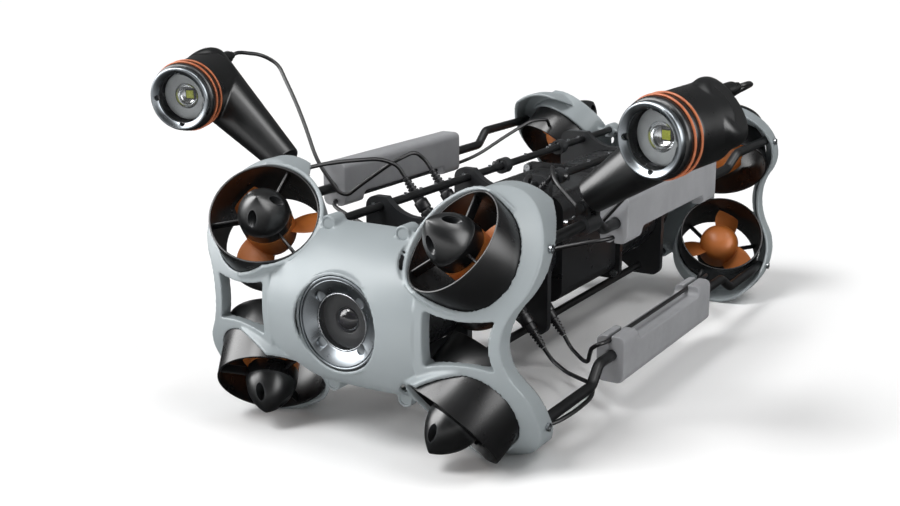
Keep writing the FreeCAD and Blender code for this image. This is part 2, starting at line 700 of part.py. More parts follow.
# ---------------------------------------------------------------- float blocks
def float_block():
    """Port upper float block: a closed case with a hooked collar at each end."""
    front = S.float_start
    back = front + S.float_length
    y0 = at(front, 0, 0).y
    y1 = at(back, 0, 0).y
    case = block(S.float_inner, S.float_outer, y0, y1, S.float_hook, S.float_high)
    case = case.makeFillet(5.0, [e for e in case.Edges if is_along(e, AFT)])
    scoop = block(S.float_inner - 1, S.float_outer + 1, y0 + S.float_collar, y1 - S.float_collar,
                  S.float_hook - 1, S.float_low)
    scoop = scoop.makeFillet(5.0, [e for e in scoop.Edges if is_along(e, Vector(1, 0, 0))
                                   and e.CenterOfMass.z > S.float_low - 1])
    case = case.cut(scoop)
    case = case.cut(cylinder(at(front - 1, S.bar_mid_x, S.bar_mid_z), AFT,
                             S.bar_radius + S.running_gap, S.float_length + 2))
    groove = S.cable_radius + S.fit_gap
    case = case.cut(cylinder(at(front - 1, S.hook_x, S.hook_z), AFT, groove, S.float_length + 2))
    mouth = block(S.hook_x - groove * 0.8, S.hook_x + groove * 0.8, y0 - 1, y1 + 1,
                  S.float_hook - 1, S.hook_z)
    return case.cut(mouth)


def is_along(edge, direction):
    """True for a straight edge that runs in a direction."""
    if not isinstance(edge.Curve, Part.Line):
        return False
    return edge.Curve.Direction.cross(direction).Length < 1e-6


def float_blocks():
    shape = float_block()
    for side, x in SIDES:
        pair = [reflected(shape, x, 1, z) for z in (1, -1)]
        feature("float_blocks_%s" % side, Part.makeCompound(pair))


# ---------------------------------------------------------------- dry hull
def camera_parts():
    """Camera housing, its bezel and what shows behind the bezel's opening."""
    turned("camera_housing", "sizes.housing_start",
           [("0", "sizes.housing_radius - 9.0"), ("0", "sizes.housing_radius"),
            ("sizes.housing_length", "sizes.housing_radius"),
            ("sizes.housing_length", "sizes.housing_radius - sizes.housing_wall"),
            ("sizes.housing_wall", "sizes.housing_radius - sizes.housing_wall"),
            ("sizes.housing_wall", "sizes.housing_radius - 9.0")])
    edge = "sizes.port_radius - sizes.fit_gap"
    total = "sizes.port_front + sizes.housing_start - sizes.running_gap"
    turned("camera_bezel", "-sizes.port_front",
           [("0", edge + " - 2.0"), ("0", edge), (total, edge), (total, edge + " - 5.0"),
            ("11.0", edge + " - 5.0"), ("11.0", "19.0"), ("7.0", "19.0")])
    turned("camera_window", "-sizes.port_front + 11.3",
           [("0", "0"), ("0", "25.5"), ("2.5", "25.5"), ("2.5", "0")])
    turned("camera_body", "-sizes.port_front + 18.0",
           [("0", "9.3"), ("0", "25.0"), ("12.0", "25.0"), ("12.0", "0"), ("6.0", "0"), ("6.0", "9.3")])
    lens = doc.addObject("Part::Sphere", "camera_lens")
    lens.Placement = Placement(Vector(), Rotation(Vector(1, 0, 0), 90))
    lens.Radius = 9.2
    lens.Angle1 = 0
    lens.Angle2 = 90
    lens.setExpression("Placement.Base.y", "-sizes.half_length - sizes.port_front + 23.7")
    node(lens, "camera_lens")


def rounded_plate(x, z, y0, y1, corner):
    plate = block(-x, x, y0, y1, -z, z)
    return plate.makeFillet(corner, [e for e in plate.Edges if is_along(e, AFT)])


def battery_parts():
    """Squarish battery box with its bolted flange, and the rear drum behind it."""
    y0 = at(value(BOX_START), 0, 0).y
    y1 = y0 + S.box_length
    case = rounded_plate(S.box_half, S.box_half, y0, y1, 12.0)
    hollow = rounded_plate(S.box_half - 3, S.box_half - 3, y0 + 3, y1 + 1, 9.0)
    feature("battery_box", case.cut(hollow))
    flange = rounded_plate(S.flange_half, S.flange_half, y1, y1 + S.flange_depth, 8.0)
    screw_place = S.flange_half - 4.6
    for hole in four_ways(cylinder(Vector(screw_place, y1 - 1, screw_place), AFT, 1.6, S.flange_depth + 2)):
        flange = flange.cut(hole)
    feature("battery_flange", flange)
    bolts = [cylinder(Vector(screw_place, y1 - 2.6, screw_place), AFT, 3.0, 2.6),
             cylinder(Vector(screw_place, y1 - 0.1, screw_place), AFT, 1.5, S.flange_depth)]
    feature("flange_bolts", Part.makeCompound(four_ways(fused(bolts))))
    drum_length = "%s - %s" % (CAP_START, DRUM_START)
    turned("rear_drum", DRUM_START,
           [("0", "0"), ("0", "sizes.drum_radius"), (drum_length, "sizes.drum_radius"),
            (drum_length, "sizes.drum_radius - 4.0"), ("4.0", "sizes.drum_radius - 4.0"),
            ("4.0", "0")])
    turned("drum_cap", CAP_START,
           [("0", "0"), ("0", "sizes.drum_radius"), ("6.0", "sizes.drum_radius"),
            ("sizes.cap_length", "sizes.drum_radius - 13.0"), ("sizes.cap_length", "0")])
    half = S.housing_radius - S.housing_wall - S.fit_gap
    board = block(-half, half, at(S.housing_start + 12, 0, 0).y, at(value(BOX_START) - 20, 0, 0).y, -1, 1)
    feature("control_board", board)


def tail_parts():
    """Blanking plate in the rear frame and the tether's gland in its middle."""
    edge = "sizes.port_radius - sizes.fit_gap"
    depth = "sizes.tail_length"
    turned("tail_plate", TAIL_START,
           [("0", "6.05"), ("0", "sizes.drum_radius - 14.0 - 4.0"), ("20.0", edge),
            (depth + " - 3.0", edge), (depth, edge + " - 3.0"), (depth, "6.05")])
    turned("tether_gland", "%s + 20.0" % TAIL_START,
           [("0", "0"), ("0", "6.0"), (depth + " - 19.7", "6.0"), (depth + " - 19.7", "9.5"),
            (depth + " - 18.0", "9.5"), (depth + " - 14.0", "5.0"), (depth + " - 14.0", "0")])


def bracket_places():
    """Station of each hull bracket and the radius of what it holds."""
    last = value(CAP_START) - S.bracket_last
    return ((S.bracket_first, S.housing_radius), (S.bracket_second, S.housing_radius),
            (last, S.drum_radius))


def hull_brackets():
    """Three bulkheads that carry the hull on the four inner tubes."""
    plates = []
    reach_x = S.socket_x + S.tube_radius + S.bracket_edge
    reach_z = S.socket_z + S.tube_radius + S.bracket_edge
    through = S.bracket_depth + 2
    for station, radius in bracket_places():
        y0 = at(station, 0, 0).y
        plate = rounded_plate(max(reach_x, radius + 3), reach_z, y0, y0 + S.bracket_depth, 8.0)
        plate = plate.cut(cylinder(Vector(0, y0 - 1, 0), AFT, radius + S.fit_gap, through))
        for hole in four_ways(cylinder(Vector(S.socket_x, y0 - 1, S.socket_z), AFT,
                                       S.tube_radius + S.running_gap, through)):
            plate = plate.cut(hole)
        notch = cylinder(Vector(0, y0 - 1, reach_z + S.notch_offset), AFT, S.bracket_notch, through)
        plates.append(plate.cut(notch).cut(reflected(notch, 1, 1, -1)))
    feature("hull_brackets", Part.makeCompound(plates))


def tube_fittings():
    """Screws along the two upper tubes, and round clamps that slide on them."""
    screws = []
    last = 2 * S.half_length - S.rail_start
    taken = [S.rail_first, S.rail_first + S.rail_spacing]
    taken += [place + S.bracket_depth / 2 for place, _ in bracket_places()]
    station = S.rail_start
    while station <= last:
        if min(abs(station - place) for place in taken) > S.bracket_depth:
            place = at(station, S.socket_x, S.socket_z + S.tube_radius + S.running_gap)
            screw = cylinder(place, Vector(0, 0, 1), 1.3, 0.9)
            screws += [screw, reflected(screw, -1, 1, 1)]
        station += S.rail_pitch
    feature("tube_screws", Part.makeCompound(screws))
    clamps = []
    for x, pitches in ((1, 2.4), (1, 8.0), (-1, 8.9), (-1, 13.9)):
        place = at(S.rail_start + pitches * S.rail_pitch, x * S.socket_x, S.socket_z)
        length = S.tube_clamp_length
        ring = cylinder(place, AFT, S.tube_radius + S.tube_clamp_wall, length)
        ring = ring.cut(cylinder(place, AFT, S.tube_radius + S.running_gap, length))
        middle = place + Vector(0, length / 2, 0)
        knob = cylinder(middle + Vector(x * 5.2, 0, 0), Vector(x, 0, 0), 2.6, 4.0)
        pocket = block(place.x - 1.7, place.x + 1.7, place.y - 1, place.y + length + 1,
                       place.z + S.tube_radius - 0.6, place.z + S.tube_radius + 1.6)
        clamps.append(fused([ring, knob]).cut(pocket))
    feature("tube_clamps", Part.makeCompound(clamps))


# ---------------------------------------------------------------- work lights
def light_axis():
    """Local frame of the port light: Z looks out of its bezel, X up."""
    toe = math.radians(S.light_toe)
    dip = math.radians(S.light_dip)
    look = Vector(-math.cos(dip) * math.sin(toe), -math.cos(dip) * math.cos(toe), -math.sin(dip))
    return axes(at(S.light_station, S.light_x, S.light_z), look, Vector(0, 0, 1))


LIGHT = light_axis()


def ring_places():
    return (-S.ring_front, -S.ring_front - S.ring_pitch)


def arm_cone():
    """Tapered arm from its foot up past the head's axis, with a rounded upper end."""
    foot = at(S.arm_station, S.arm_foot_x, S.arm_foot_z)
    run = LIGHT.multVec(Vector(0, 0, -S.light_length)) - foot
    full = run * ((run.Length + S.arm_over) / run.Length)
    cone = Part.makeCone(S.arm_foot, S.arm_top, full.Length, foot, full)
    rim = [e for e in cone.Edges if isinstance(e.Curve, Part.Circle)]
    top = [e for e in rim if e.Curve.Radius > S.arm_top - 0.1]
    foot_rim = [e for e in rim if e.Curve.Radius < S.arm_foot + 0.1]
    return cone.makeFillet(8.0, top).makeFillet(1.5, foot_rim), foot, run


def light_head():
    """Head with its O-ring grooves, tapered arm and the eye that turns on the pivot."""
    r = S.light_radius
    back = -S.light_length
    hollow = S.light_cavity
    head = revolved([(0, back), (r, back), (r, -6), (r - 1.6, -4.5), (hollow, -4.5),
                     (hollow, -26), (0, -26)])
    for place in ring_places():
        head = head.cut(Part.makeTorus(r + 0.3, 1.4, Vector(0, 0, place), Vector(0, 0, 1)))
    gland = Part.makeCylinder(4.6, 30, Vector(S.light_lead, 0, back - S.arm_top - 7))
    boot = Part.makeCylinder(3.0, 6, Vector(S.light_lead, 0, back - S.arm_top - 13))
    head = placed(fused([head, gland, boot]), LIGHT)
    cone, foot, run = arm_cone()
    front_clear = placed(Part.makeCylinder(hollow, 40, Vector(0, 0, -26)), LIGHT)
    solid = head.fuse(cone.cut(front_clear))
    pivot = Vector(S.pivot_x, foot.y, S.pivot_z)
    eye = cylinder(pivot - Vector(0, S.tongue_half, 0), AFT, S.pivot_eye, 2 * S.tongue_half)
    toward = Vector(run.x, 0, run.z).normalize()
    side = Vector(0, 1, 0).cross(toward)
    corner = pivot - side * S.pivot_eye - Vector(0, S.tongue_half, 0)
    web = Part.makeBox(9.0, 2 * S.pivot_eye, 2 * S.tongue_half)
    web.Placement = Placement(Matrix(toward.x, side.x, 0, corner.x, 0, 0, 1, corner.y,
                                     toward.z, side.z, 0, corner.z, 0, 0, 0, 1))
    if web.Volume < 0:
        raise RuntimeError("the tongue is inside out")
    solid = fused([solid, eye, web])
    return solid.cut(cylinder(pivot - Vector(0, 20, 0), AFT, S.pivot_radius + S.running_gap, 40))


def light_bezel():
    r = S.bezel_radius
    ring = revolved([(14.5, -7), (r - 5.4, -7), (r - 5.4, -4.2), (r, -4.2), (r, -1.5), (r - 1.5, 0),
                     (17.5, 0), (15.0, -2.5)])
    for angle in (0, 90, 180, 270):
        notch = Part.makeCylinder(2.6, 12, Vector(17.0, 0, -9.5))
        ring = ring.cut(spin(notch, angle))
    return placed(ring, LIGHT)


def light_lens():
    return placed(Part.makeCylinder(17.2, 2.5, Vector(0, 0, -9.8)), LIGHT)


def light_reflector():
    cone = revolved([(6.0, -21), (17.0, -10.5), (17.4, -10.5), (17.4, -12), (7.2, -24), (6.0, -24)])
    return placed(cone, LIGHT)


def light_emitter():
    base = Part.makeCylinder(5.6, 2.0, Vector(0, 0, -25.7))
    chip = Part.makeBox(6.4, 6.4, 2.0, Vector(-3.2, -3.2, -23.7))
    return placed(fused([base, chip]), LIGHT)


def light_rings():
    rings = [Part.makeTorus(S.light_radius + 0.3, 1.1, Vector(0, 0, place), Vector(0, 0, 1))
             for place in ring_places()]
    return placed(Part.makeCompound(rings), LIGHT)


def light_clamp():
    """Clamp on the port upper side bar with two ears and the pivot pin."""
    y = at(S.arm_station, 0, 0).y
    half = S.clamp_half
    ring = cylinder(Vector(S.bar_x, y - half, S.bar_z), AFT, S.clamp_radius, 2 * half)
    ears = []
    inner = S.tongue_half + S.fit_gap
    for low, high in ((-inner - 3, -inner), (inner, inner + 3)):
        eye = cylinder(Vector(S.pivot_x, y + low, S.pivot_z), AFT, S.pivot_eye, high - low)
        web = block(S.pivot_x - S.pivot_eye, S.pivot_x + S.pivot_eye, y + low, y + high,
                    S.bar_z, S.pivot_z)
        ears += [eye, web]
    pin = cylinder(Vector(S.pivot_x, y - inner - 4.5, S.pivot_z), AFT, S.pivot_radius, 2 * inner + 9)
    lug = block(S.bar_x - S.clamp_radius - 3, S.bar_x, y - half + 2, y + half - 2,
                S.bar_z - 3, S.bar_z + 3)
    solid = fused([ring, pin, lug] + ears)
    bore = cylinder(Vector(S.bar_x, y - half - 1, S.bar_z), AFT, S.bar_radius + S.running_gap, 2 * half + 2)
    return solid.cut(bore)


def clamp_bolts():
    """Two bright bolts that pinch each light clamp."""
    y = at(S.arm_station, 0, 0).y
    x = S.bar_x - S.clamp_radius - 3
    bolts = [cylinder(Vector(x, y + place, S.bar_z), Vector(-1, 0, 0), 2.4, 2.6) for place in (-6, 6)]
    return Part.makeCompound(bolts)


def lights():
    for side, x in SIDES:
        for name, shape in (("head", light_head()), ("bezel", light_bezel()), ("lens", light_lens()),
                            ("reflector", light_reflector()), ("emitter", light_emitter()),
                            ("rings", light_rings())):
            feature("light_%s_%s" % (side, name), reflected(shape, x, 1, 1))
    both = [light_clamp(), reflected(light_clamp(), -1, 1, 1)]
    feature("light_clamps", Part.makeCompound(both))
    bolts = clamp_bolts()
    feature("clamp_bolts", Part.makeCompound([bolts, reflected(bolts, -1, 1, 1)]))


# ---------------------------------------------------------------- cables
CONNECTOR_WAY = Vector(0.62, 0, 0.785)
UPPER_STATIONS = (122.0, 158.0)
LOWER_STATIONS = (156.0, 190.0)


def connector(station):
    """Port upper connector: a collar on the housing, a nut and a ribbed strain relief."""
    foot = at(station, 0, 0)
    way = Vector(CONNECTOR_WAY).normalize()
    parts = [cylinder(foot + way * (S.plug_seat - 0.7), way, S.plug_radius + 1.2, 5.0),
             cylinder(foot + way * (S.plug_seat + 3), way, S.plug_radius, 24.0),
             cylinder(foot + way * (S.plug_seat + 12), way, S.plug_radius + 1.0, 8.0),
             Part.makeCone(3.4, 2.2, S.plug_reach - S.plug_seat - 26.5,
                           foot + way * (S.plug_seat + 26.5), way)]
    solid = fused(parts)
    seat = cylinder(at(station - 30, 0, 0), AFT, S.housing_radius + S.running_gap, 60)
    return solid.cut(seat)


def connectors():
    upper = [connector(station) for station in UPPER_STATIONS]
    lower = [reflected(connector(station), 1, 1, -1) for station in LOWER_STATIONS]
    port = upper + lower
    feature("cable_connectors", Part.makeCompound(port + [reflected(c, -1, 1, 1) for c in port]))


def mount_point(angle, depth, radius, end):
    """A point beside the upper port duct, at an angle round its axis."""
    turn = math.radians(angle)
    local = Vector(radius * math.cos(turn), radius * math.sin(turn), -depth)
    point = THRUSTER.multVec(local)
    return point if end > 0 else Vector(point.x, -point.y, point.z)


def plug_end(station, reach, level):
    """A point on a connector's axis."""
    way = Vector(CONNECTOR_WAY).normalize() * reach
    return at(station, way.x, level * way.z)


def cable_routes():
    """Hand-placed routes of the four port thruster cables."""
    out = S.plug_reach + S.fit_gap
    seat = S.duct_radius + S.fit_gap
    upper_front = [plug_end(UPPER_STATIONS[0], out, 1), at(121, 55, 71), at(108, 62, 77.5),
                   at(86, 70, 79), at(66, 82, 78.5), at(52, 90, 76),
                   mount_point(80, 38, 46, 1), mount_point(80, 38, seat, 1)]
    lower_front = [plug_end(LOWER_STATIONS[0], out, -1), at(157, 56, -71.5), at(148, 72, -75),
                   at(126, 94, -69), at(106, 114, -63), at(88, 121, -65), at(60, 122, -65.2),
                   at(42, 118, -67)]
    for radius in (46, seat):
        point = mount_point(50, 38, radius, 1)
        lower_front.append(Vector(point.x, point.y, -point.z))
    hook = (S.hook_x, S.hook_z)
    end = S.float_start + S.float_length
    tail = [at(end + 14, *hook), at(end + 40, 110, 41), at(end + 66, 97, 55), at(end + 92, 84, 67),
            mount_point(100, 38, 46, -1), mount_point(100, 38, seat, -1)]
    upper_rear = [at(105, S.housing_radius * 0.94 + 0.4, S.housing_radius * 0.342 + 0.15),
                  at(105, 62, 22), at(107, 86, 30), at(111, 106, 35.5), at(122, *hook)] + tail
    lower_rear = [plug_end(LOWER_STATIONS[1], out, 1), at(189, 56, 71.5), at(176, 72, 74.5),
                  at(152, 88, 66), at(130, 99, 52), at(116, 107, 41), at(113, 114, 36),
                  at(122, *hook)] + tail
    lower_rear = [Vector(p.x, p.y, -p.z) for p in lower_rear]
    return {"upper front": upper_front, "lower front": lower_front,
            "upper rear": upper_rear, "lower rear": lower_rear}


def cable(name, points):
    """A cable along its route, each bend as large as its shorter run allows."""
    radii = []
    for i in range(1, len(points) - 1):
        before = points[i] - points[i - 1]
        after = points[i + 1] - points[i]
        turn = before.getAngle(after)
        radii.append(0.45 * min(before.Length, after.Length) / math.tan(turn / 2))
    wire = rounded_run(points, radii)
    print(name, "length %.0f mm, radii" % wire.Length, [round(r, 1) for r in radii])
    return swept(wire, S.cable_radius)


def cables():
    port = [cable(name, points) for name, points in cable_routes().items()]
    feature("thruster_cables", Part.makeCompound(port + [reflected(c, -1, 1, 1) for c in port]))
    rear = S.light_length + S.arm_top + 13
    exit_point = LIGHT.multVec(Vector(S.light_lead, 0, -rear - S.fit_gap))
    next_point = LIGHT.multVec(Vector(S.light_lead, 0, -rear - 12))
    points = [exit_point, next_point, at(145, 200, 143), at(149, 187, 136), at(134, 154, 101),
              at(118, 127, 67), at(119.5, 108, 45), at(123.5, 103, 43), at(126, 92, 52),
              at(132, 68, 70), at(149, 58, 77), plug_end(UPPER_STATIONS[1], S.plug_reach + 8, 1),
              plug_end(UPPER_STATIONS[1], S.plug_reach + S.fit_gap, 1)]
    lead = cable("light", points)
    for side, x in SIDES:
        feature("light_%s_cable" % side, reflected(lead, x, 1, 1))


# ---------------------------------------------------------------- build and write
def build():
    end_frames()
    thrusters()
    inner_tubes()
    socket_plugs()
    side_bars()
    frame_screws()
    float_blocks()
    camera_parts()
    battery_parts()
    tail_parts()
    hull_brackets()
    tube_fittings()
    lights()
    connectors()
    cables()


def write():
    """Checks every object and sub-part, then writes one file for each."""
    doc.recompute()
    for item in doc.Objects:
        if "Invalid" in item.State or "Error" in item.State:
            raise RuntimeError("%s did not compute: %s" % (item.Label, item.State))
    os.makedirs("parts", exist_ok=True)
    for item in NODES:
        shape = item.Shape
        if shape.isNull() or not shape.isValid() or not shape.Solids:
            raise RuntimeError("%s has no valid shape" % item.Label)
        for solid in shape.Solids:
            if solid.Volume <= 0:
                raise RuntimeError("%s is inside out" % item.Label)
        shape.exportStep("parts/%s.step" % item.Label)
    print(len(NODES), "sub-parts written")


build()
write()
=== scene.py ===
"""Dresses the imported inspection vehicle: finishes, soft moulded shells and fine detail pieces."""
import json
import math

import bmesh
import bpy
from bpy.props import FloatProperty, FloatVectorProperty, IntProperty, PointerProperty
from mathutils import Matrix, Vector


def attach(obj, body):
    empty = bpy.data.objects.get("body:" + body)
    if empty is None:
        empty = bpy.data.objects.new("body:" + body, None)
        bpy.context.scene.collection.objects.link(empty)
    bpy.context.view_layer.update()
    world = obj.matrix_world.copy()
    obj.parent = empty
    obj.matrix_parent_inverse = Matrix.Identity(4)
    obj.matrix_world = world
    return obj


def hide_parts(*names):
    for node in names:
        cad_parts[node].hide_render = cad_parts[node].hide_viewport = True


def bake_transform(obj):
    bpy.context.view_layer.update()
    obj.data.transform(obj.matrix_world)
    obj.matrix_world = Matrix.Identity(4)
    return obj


bl_info = {
    "name": "Inspection Vehicle Dressing",
    "version": (1, 0, 0),
    "blender": (4, 5, 0),
    "location": "3D View > Sidebar > Vehicle",
    "description": "Finishes and detail pieces of an underwater inspection vehicle",
    "category": "Object",
}

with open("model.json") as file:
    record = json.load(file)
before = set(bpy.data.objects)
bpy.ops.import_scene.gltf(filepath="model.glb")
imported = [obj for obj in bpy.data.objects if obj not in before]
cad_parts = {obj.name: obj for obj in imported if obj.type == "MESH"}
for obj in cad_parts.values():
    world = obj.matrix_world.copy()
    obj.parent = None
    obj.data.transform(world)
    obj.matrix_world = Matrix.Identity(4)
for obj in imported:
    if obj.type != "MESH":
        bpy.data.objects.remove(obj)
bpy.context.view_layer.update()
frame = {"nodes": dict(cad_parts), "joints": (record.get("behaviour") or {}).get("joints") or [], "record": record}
MM = 0.001
ROOT = "hull"

# the lens, and where it stands from the middle of the front sockets, ahead, to port and up
SOCKET_PLANE = 226.0 * MM
CENTRE_HEIGHT = 88.5 * MM
CAMERA_AZIMUTH = math.radians(31.6)
CAMERA_PITCH = math.radians(14.8)
CAMERA_ROLL = math.radians(-0.34)
CAMERA_DISTANCE = 800.9 * MM
CAMERA_RIGHT = 54.475 * MM
CAMERA_UP = 37.878 * MM
SENSOR_MM = 36.0

# distance from a propeller joint's point to the rim of its duct
HUB_BACK = 30.0 * MM

# thruster sizes in millimetres, about its own axis with Z out of the nose; turns are in degrees
DUCT_RADIUS = 36.7
DUCT_WALL = 1.5
DUCT_LENGTH = 46.0
RIM_TURN = 337.0                    # the side to which the rim falls back
RIM_FALL = math.radians(7.0)
POD_RADIUS = 17.5
POD_BACK = -11.0
STRUT_TURNS = (91.0, 211.0, 331.0)
STRUT_WIDTH = 1.8
STRUT_DEPTH = 6.5
STRUT_MIDDLE = -7.25
NOSE_TIP = 21.9
NOSE_HOLE_TURNS = (30.0, 150.0, 270.0)
NOSE_HOLE_RADIUS = 3.1
NOSE_HOLE_PLACE = (13.0, 0.0, 12.0)
NOSE_HOLE_STRETCH = 1.6             # the holes are ovals, longer across the flank

# soft shells: voxel in millimetres, smoothing passes, share of the triangles kept
FRAME_KEEP = 0.3
FLOAT_SHELL = (0.8, 5, 0.4)
HEAD_SHELL = (0.8, 3, 0.5)

# work light: bezel centre in millimetres (to port, behind the front sockets, above the middle)
LIGHT_PLACE = (179.7, 27.4, 122.5)
LIGHT_TOE = math.radians(14.9)
LIGHT_DIP = math.radians(5.2)
NOTCH_TURNS = (0.0, 90.0, 180.0, 270.0)
NOTCH_RADIUS = 2.0
NOTCH_CENTRE = 18.0
RING_HEIGHTS = (-11.0, -17.5)
RING_RADIUS = 24.85
RING_THICKNESS = 0.8

# cable connectors on the camera housing: stations of the upper and lower pairs, and their lean
CONNECTOR_STATIONS = ((122.0, 1.0), (158.0, 1.0), (156.0, -1.0), (190.0, -1.0))
CONNECTOR_LEAN = (0.62, 0.785)

# camera: its bezel's front ahead of the front sockets, and the pockets in the bezel's cone
BEZEL_FRONT = 30.8
POCKET_TURNS = (45.0, 135.0, 225.0, 315.0)
POCKET_RADIUS = 3.6
POCKET_CENTRE = 21.4
WINDOW_RING_RADIUS = 18.6
WINDOW_RING_THICKNESS = 0.3
WINDOW_RING_HEIGHT = -4.5


# ---------------- colours and nodes
def linear(colour):
    """An sRGB hex colour as a linear colour with alpha; a setting's colour is linear already."""
    if not isinstance(colour, str):
        return tuple(colour)
    parts = [int(colour[i:i + 2], 16) / 255.0 for i in (0, 2, 4)]
    curve = [c / 12.92 if c <= 0.04045 else ((c + 0.055) / 1.055) ** 2.4 for c in parts]
    return (*curve, 1.0)


def add(tree, kind, inputs=None, **settings):
    """Adds a node with its settings; an input is a value or another node's output."""
    made = tree.nodes.new(kind)
    for key, value in settings.items():
        setattr(made, key, value)
    for name, value in (inputs or {}).items():
        if isinstance(value, bpy.types.NodeSocket):
            tree.links.new(value, made.inputs[name])
        else:
            made.inputs[name].default_value = value
    return made


def new_material(name):
    """An empty material and its node tree."""
    made = bpy.data.materials.new(name)
    made.use_nodes = True
    made.node_tree.nodes.clear()
    return made, made.node_tree


def place_of(tree):
    """The point on the piece, in metres."""
    return add(tree, "ShaderNodeTexCoord").outputs["Object"]


def finish_with(tree, colour, roughness, normal=None, **sockets):
    """Principled surface; sockets are constants set on the shader itself."""
    inputs = {"Base Color": colour, "Roughness": roughness}
    if normal is not None:
        inputs["Normal"] = normal
    shader = add(tree, "ShaderNodeBsdfPrincipled", inputs)
    for name, value in sockets.items():
        shader.inputs[name.replace("_", " ")].default_value = value
    add(tree, "ShaderNodeOutputMaterial", {"Surface": shader.outputs["BSDF"]})
    return shader


def mottle(tree, dark, light, patch_mm, low=0.35, high=0.65):
    """Two close colours in soft patches of a size in millimetres."""
    cloud = add(tree, "ShaderNodeTexNoise",
                {"Vector": place_of(tree), "Scale": 1.0 / (patch_mm * MM), "Detail": 4.0})
    ramp = add(tree, "ShaderNodeValToRGB", {"Fac": cloud.outputs["Fac"]})
    ramp.color_ramp.elements[0].position = low
    ramp.color_ramp.elements[0].color = linear(dark)
    ramp.color_ramp.elements[1].position = high
    ramp.color_ramp.elements[1].color = linear(light)
    return ramp.outputs["Color"]


def uneven(tree, smooth, rough, patch_mm):
    """Roughness that wanders between two values."""
    cloud = add(tree, "ShaderNodeTexNoise",
                {"Vector": place_of(tree), "Scale": 1.0 / (patch_mm * MM), "Detail": 3.0})
    spread = add(tree, "ShaderNodeMapRange",
                 {"Value": cloud.outputs["Fac"], "From Min": 0.3, "From Max": 0.7,
                  "To Min": smooth, "To Max": rough})
    return spread.outputs["Result"]


def grain(tree, grain_mm, height_mm, strength=0.5):
    """Moulded or blasted grain as a bump; the real one, near 0.1 mm, is drawn coarser to show."""
    cloud = add(tree, "ShaderNodeTexNoise",
                {"Vector": place_of(tree), "Scale": 1.0 / (grain_mm * MM), "Detail": 2.0})
    bump = add(tree, "ShaderNodeBump",
               {"Height": cloud.outputs["Fac"], "Distance": height_mm * MM, "Strength": strength})
    return bump.outputs["Normal"]


def worn(tree, base, wear, amount):
    """Mixes in a wear colour along the sharp outer edges."""
    edge = add(tree, "ShaderNodeNewGeometry")
    ramp = add(tree, "ShaderNodeMapRange",
               {"Value": edge.outputs["Pointiness"], "From Min": 0.52, "From Max": 0.62,
                "To Min": 0.0, "To Max": amount})
    mix = add(tree, "ShaderNodeMix", {0: ramp.outputs["Result"], 6: base, 7: linear(wear)},
              data_type="RGBA")
    return mix.outputs[2]


# ---------------- materials
def moulded_nylon_grey(colour):
    """Glass-filled nylon, injection moulded: even, satin, with a very fine spark-eroded grain."""
    made, tree = new_material("moulded_nylon_grey")
    paler = add(tree, "ShaderNodeMix", {0: 0.06, 6: colour, 7: linear("FFFFFF")}, data_type="RGBA")
    cloud = add(tree, "ShaderNodeTexNoise",
                {"Vector": place_of(tree), "Scale": 1.0 / (45.0 * MM), "Detail": 2.0})
    shade = add(tree, "ShaderNodeMix",
                {0: cloud.outputs["Fac"], 6: colour, 7: paler.outputs[2]}, data_type="RGBA")
    finish_with(tree, shade.outputs[2], uneven(tree, 0.36, 0.44, 20.0),
                grain(tree, 0.7, 0.02, 0.3), Specular_IOR_Level=0.5)
    return made


def moulded_float_grey(dark, light):
    """Foam-filled polyurethane case: mid grey, softer sheen than the frames."""
    made, tree = new_material("moulded_float_case")
    shade = worn(tree, mottle(tree, dark, light, 30.0), "B4B5B8", 0.2)
    finish_with(tree, shade, uneven(tree, 0.42, 0.55, 7.0), grain(tree, 0.8, 0.04, 0.4))
    return made


def moulded_abs_black():
    """Black ABS tube, moulded and lightly polished: dark with clear soft reflections."""
    made, tree = new_material("moulded_abs_black")
    shade = worn(tree, mottle(tree, "101011", "151516", 25.0), "303133", 0.4)
    finish_with(tree, shade, uneven(tree, 0.26, 0.32, 18.0), grain(tree, 0.9, 0.012, 0.25),
                Specular_IOR_Level=0.5)
    return made


def moulded_nylon_orange(dark, light):
    """Orange nylon propeller: through-coloured, satin, a little darker in its patches."""
    made, tree = new_material("moulded_nylon_orange")
    shade = worn(tree, mottle(tree, dark, light, 18.0), "DB9A62", 0.3)
    finish_with(tree, shade, uneven(tree, 0.32, 0.44, 5.0), grain(tree, 0.8, 0.03, 0.3))
    return made


def moulded_pod_black():
    """Black polycarbonate pod: near black with a broad gunmetal sheen."""
    made, tree = new_material("moulded_polycarbonate_pod")
    shade = worn(tree, mottle(tree, "111213", "161718", 14.0), "3C3E40", 0.4)
    finish_with(tree, shade, uneven(tree, 0.27, 0.33, 12.0), grain(tree, 0.7, 0.01, 0.2),
                Specular_IOR_Level=0.7)
    return made


def anodised_black(name, smooth, rough, dark="0E0F10", light="131415"):
    """Aluminium, bead blasted and black anodised: dark dye over metal, a soft metallic sheen."""
    made, tree = new_material(name)
    shade = worn(tree, mottle(tree, dark, light, 22.0), "3A3C3F", 0.3)
    finish_with(tree, shade, uneven(tree, smooth, rough, 15.0), grain(tree, 0.6, 0.01, 0.25),
                Specular_IOR_Level=0.6)
    return made


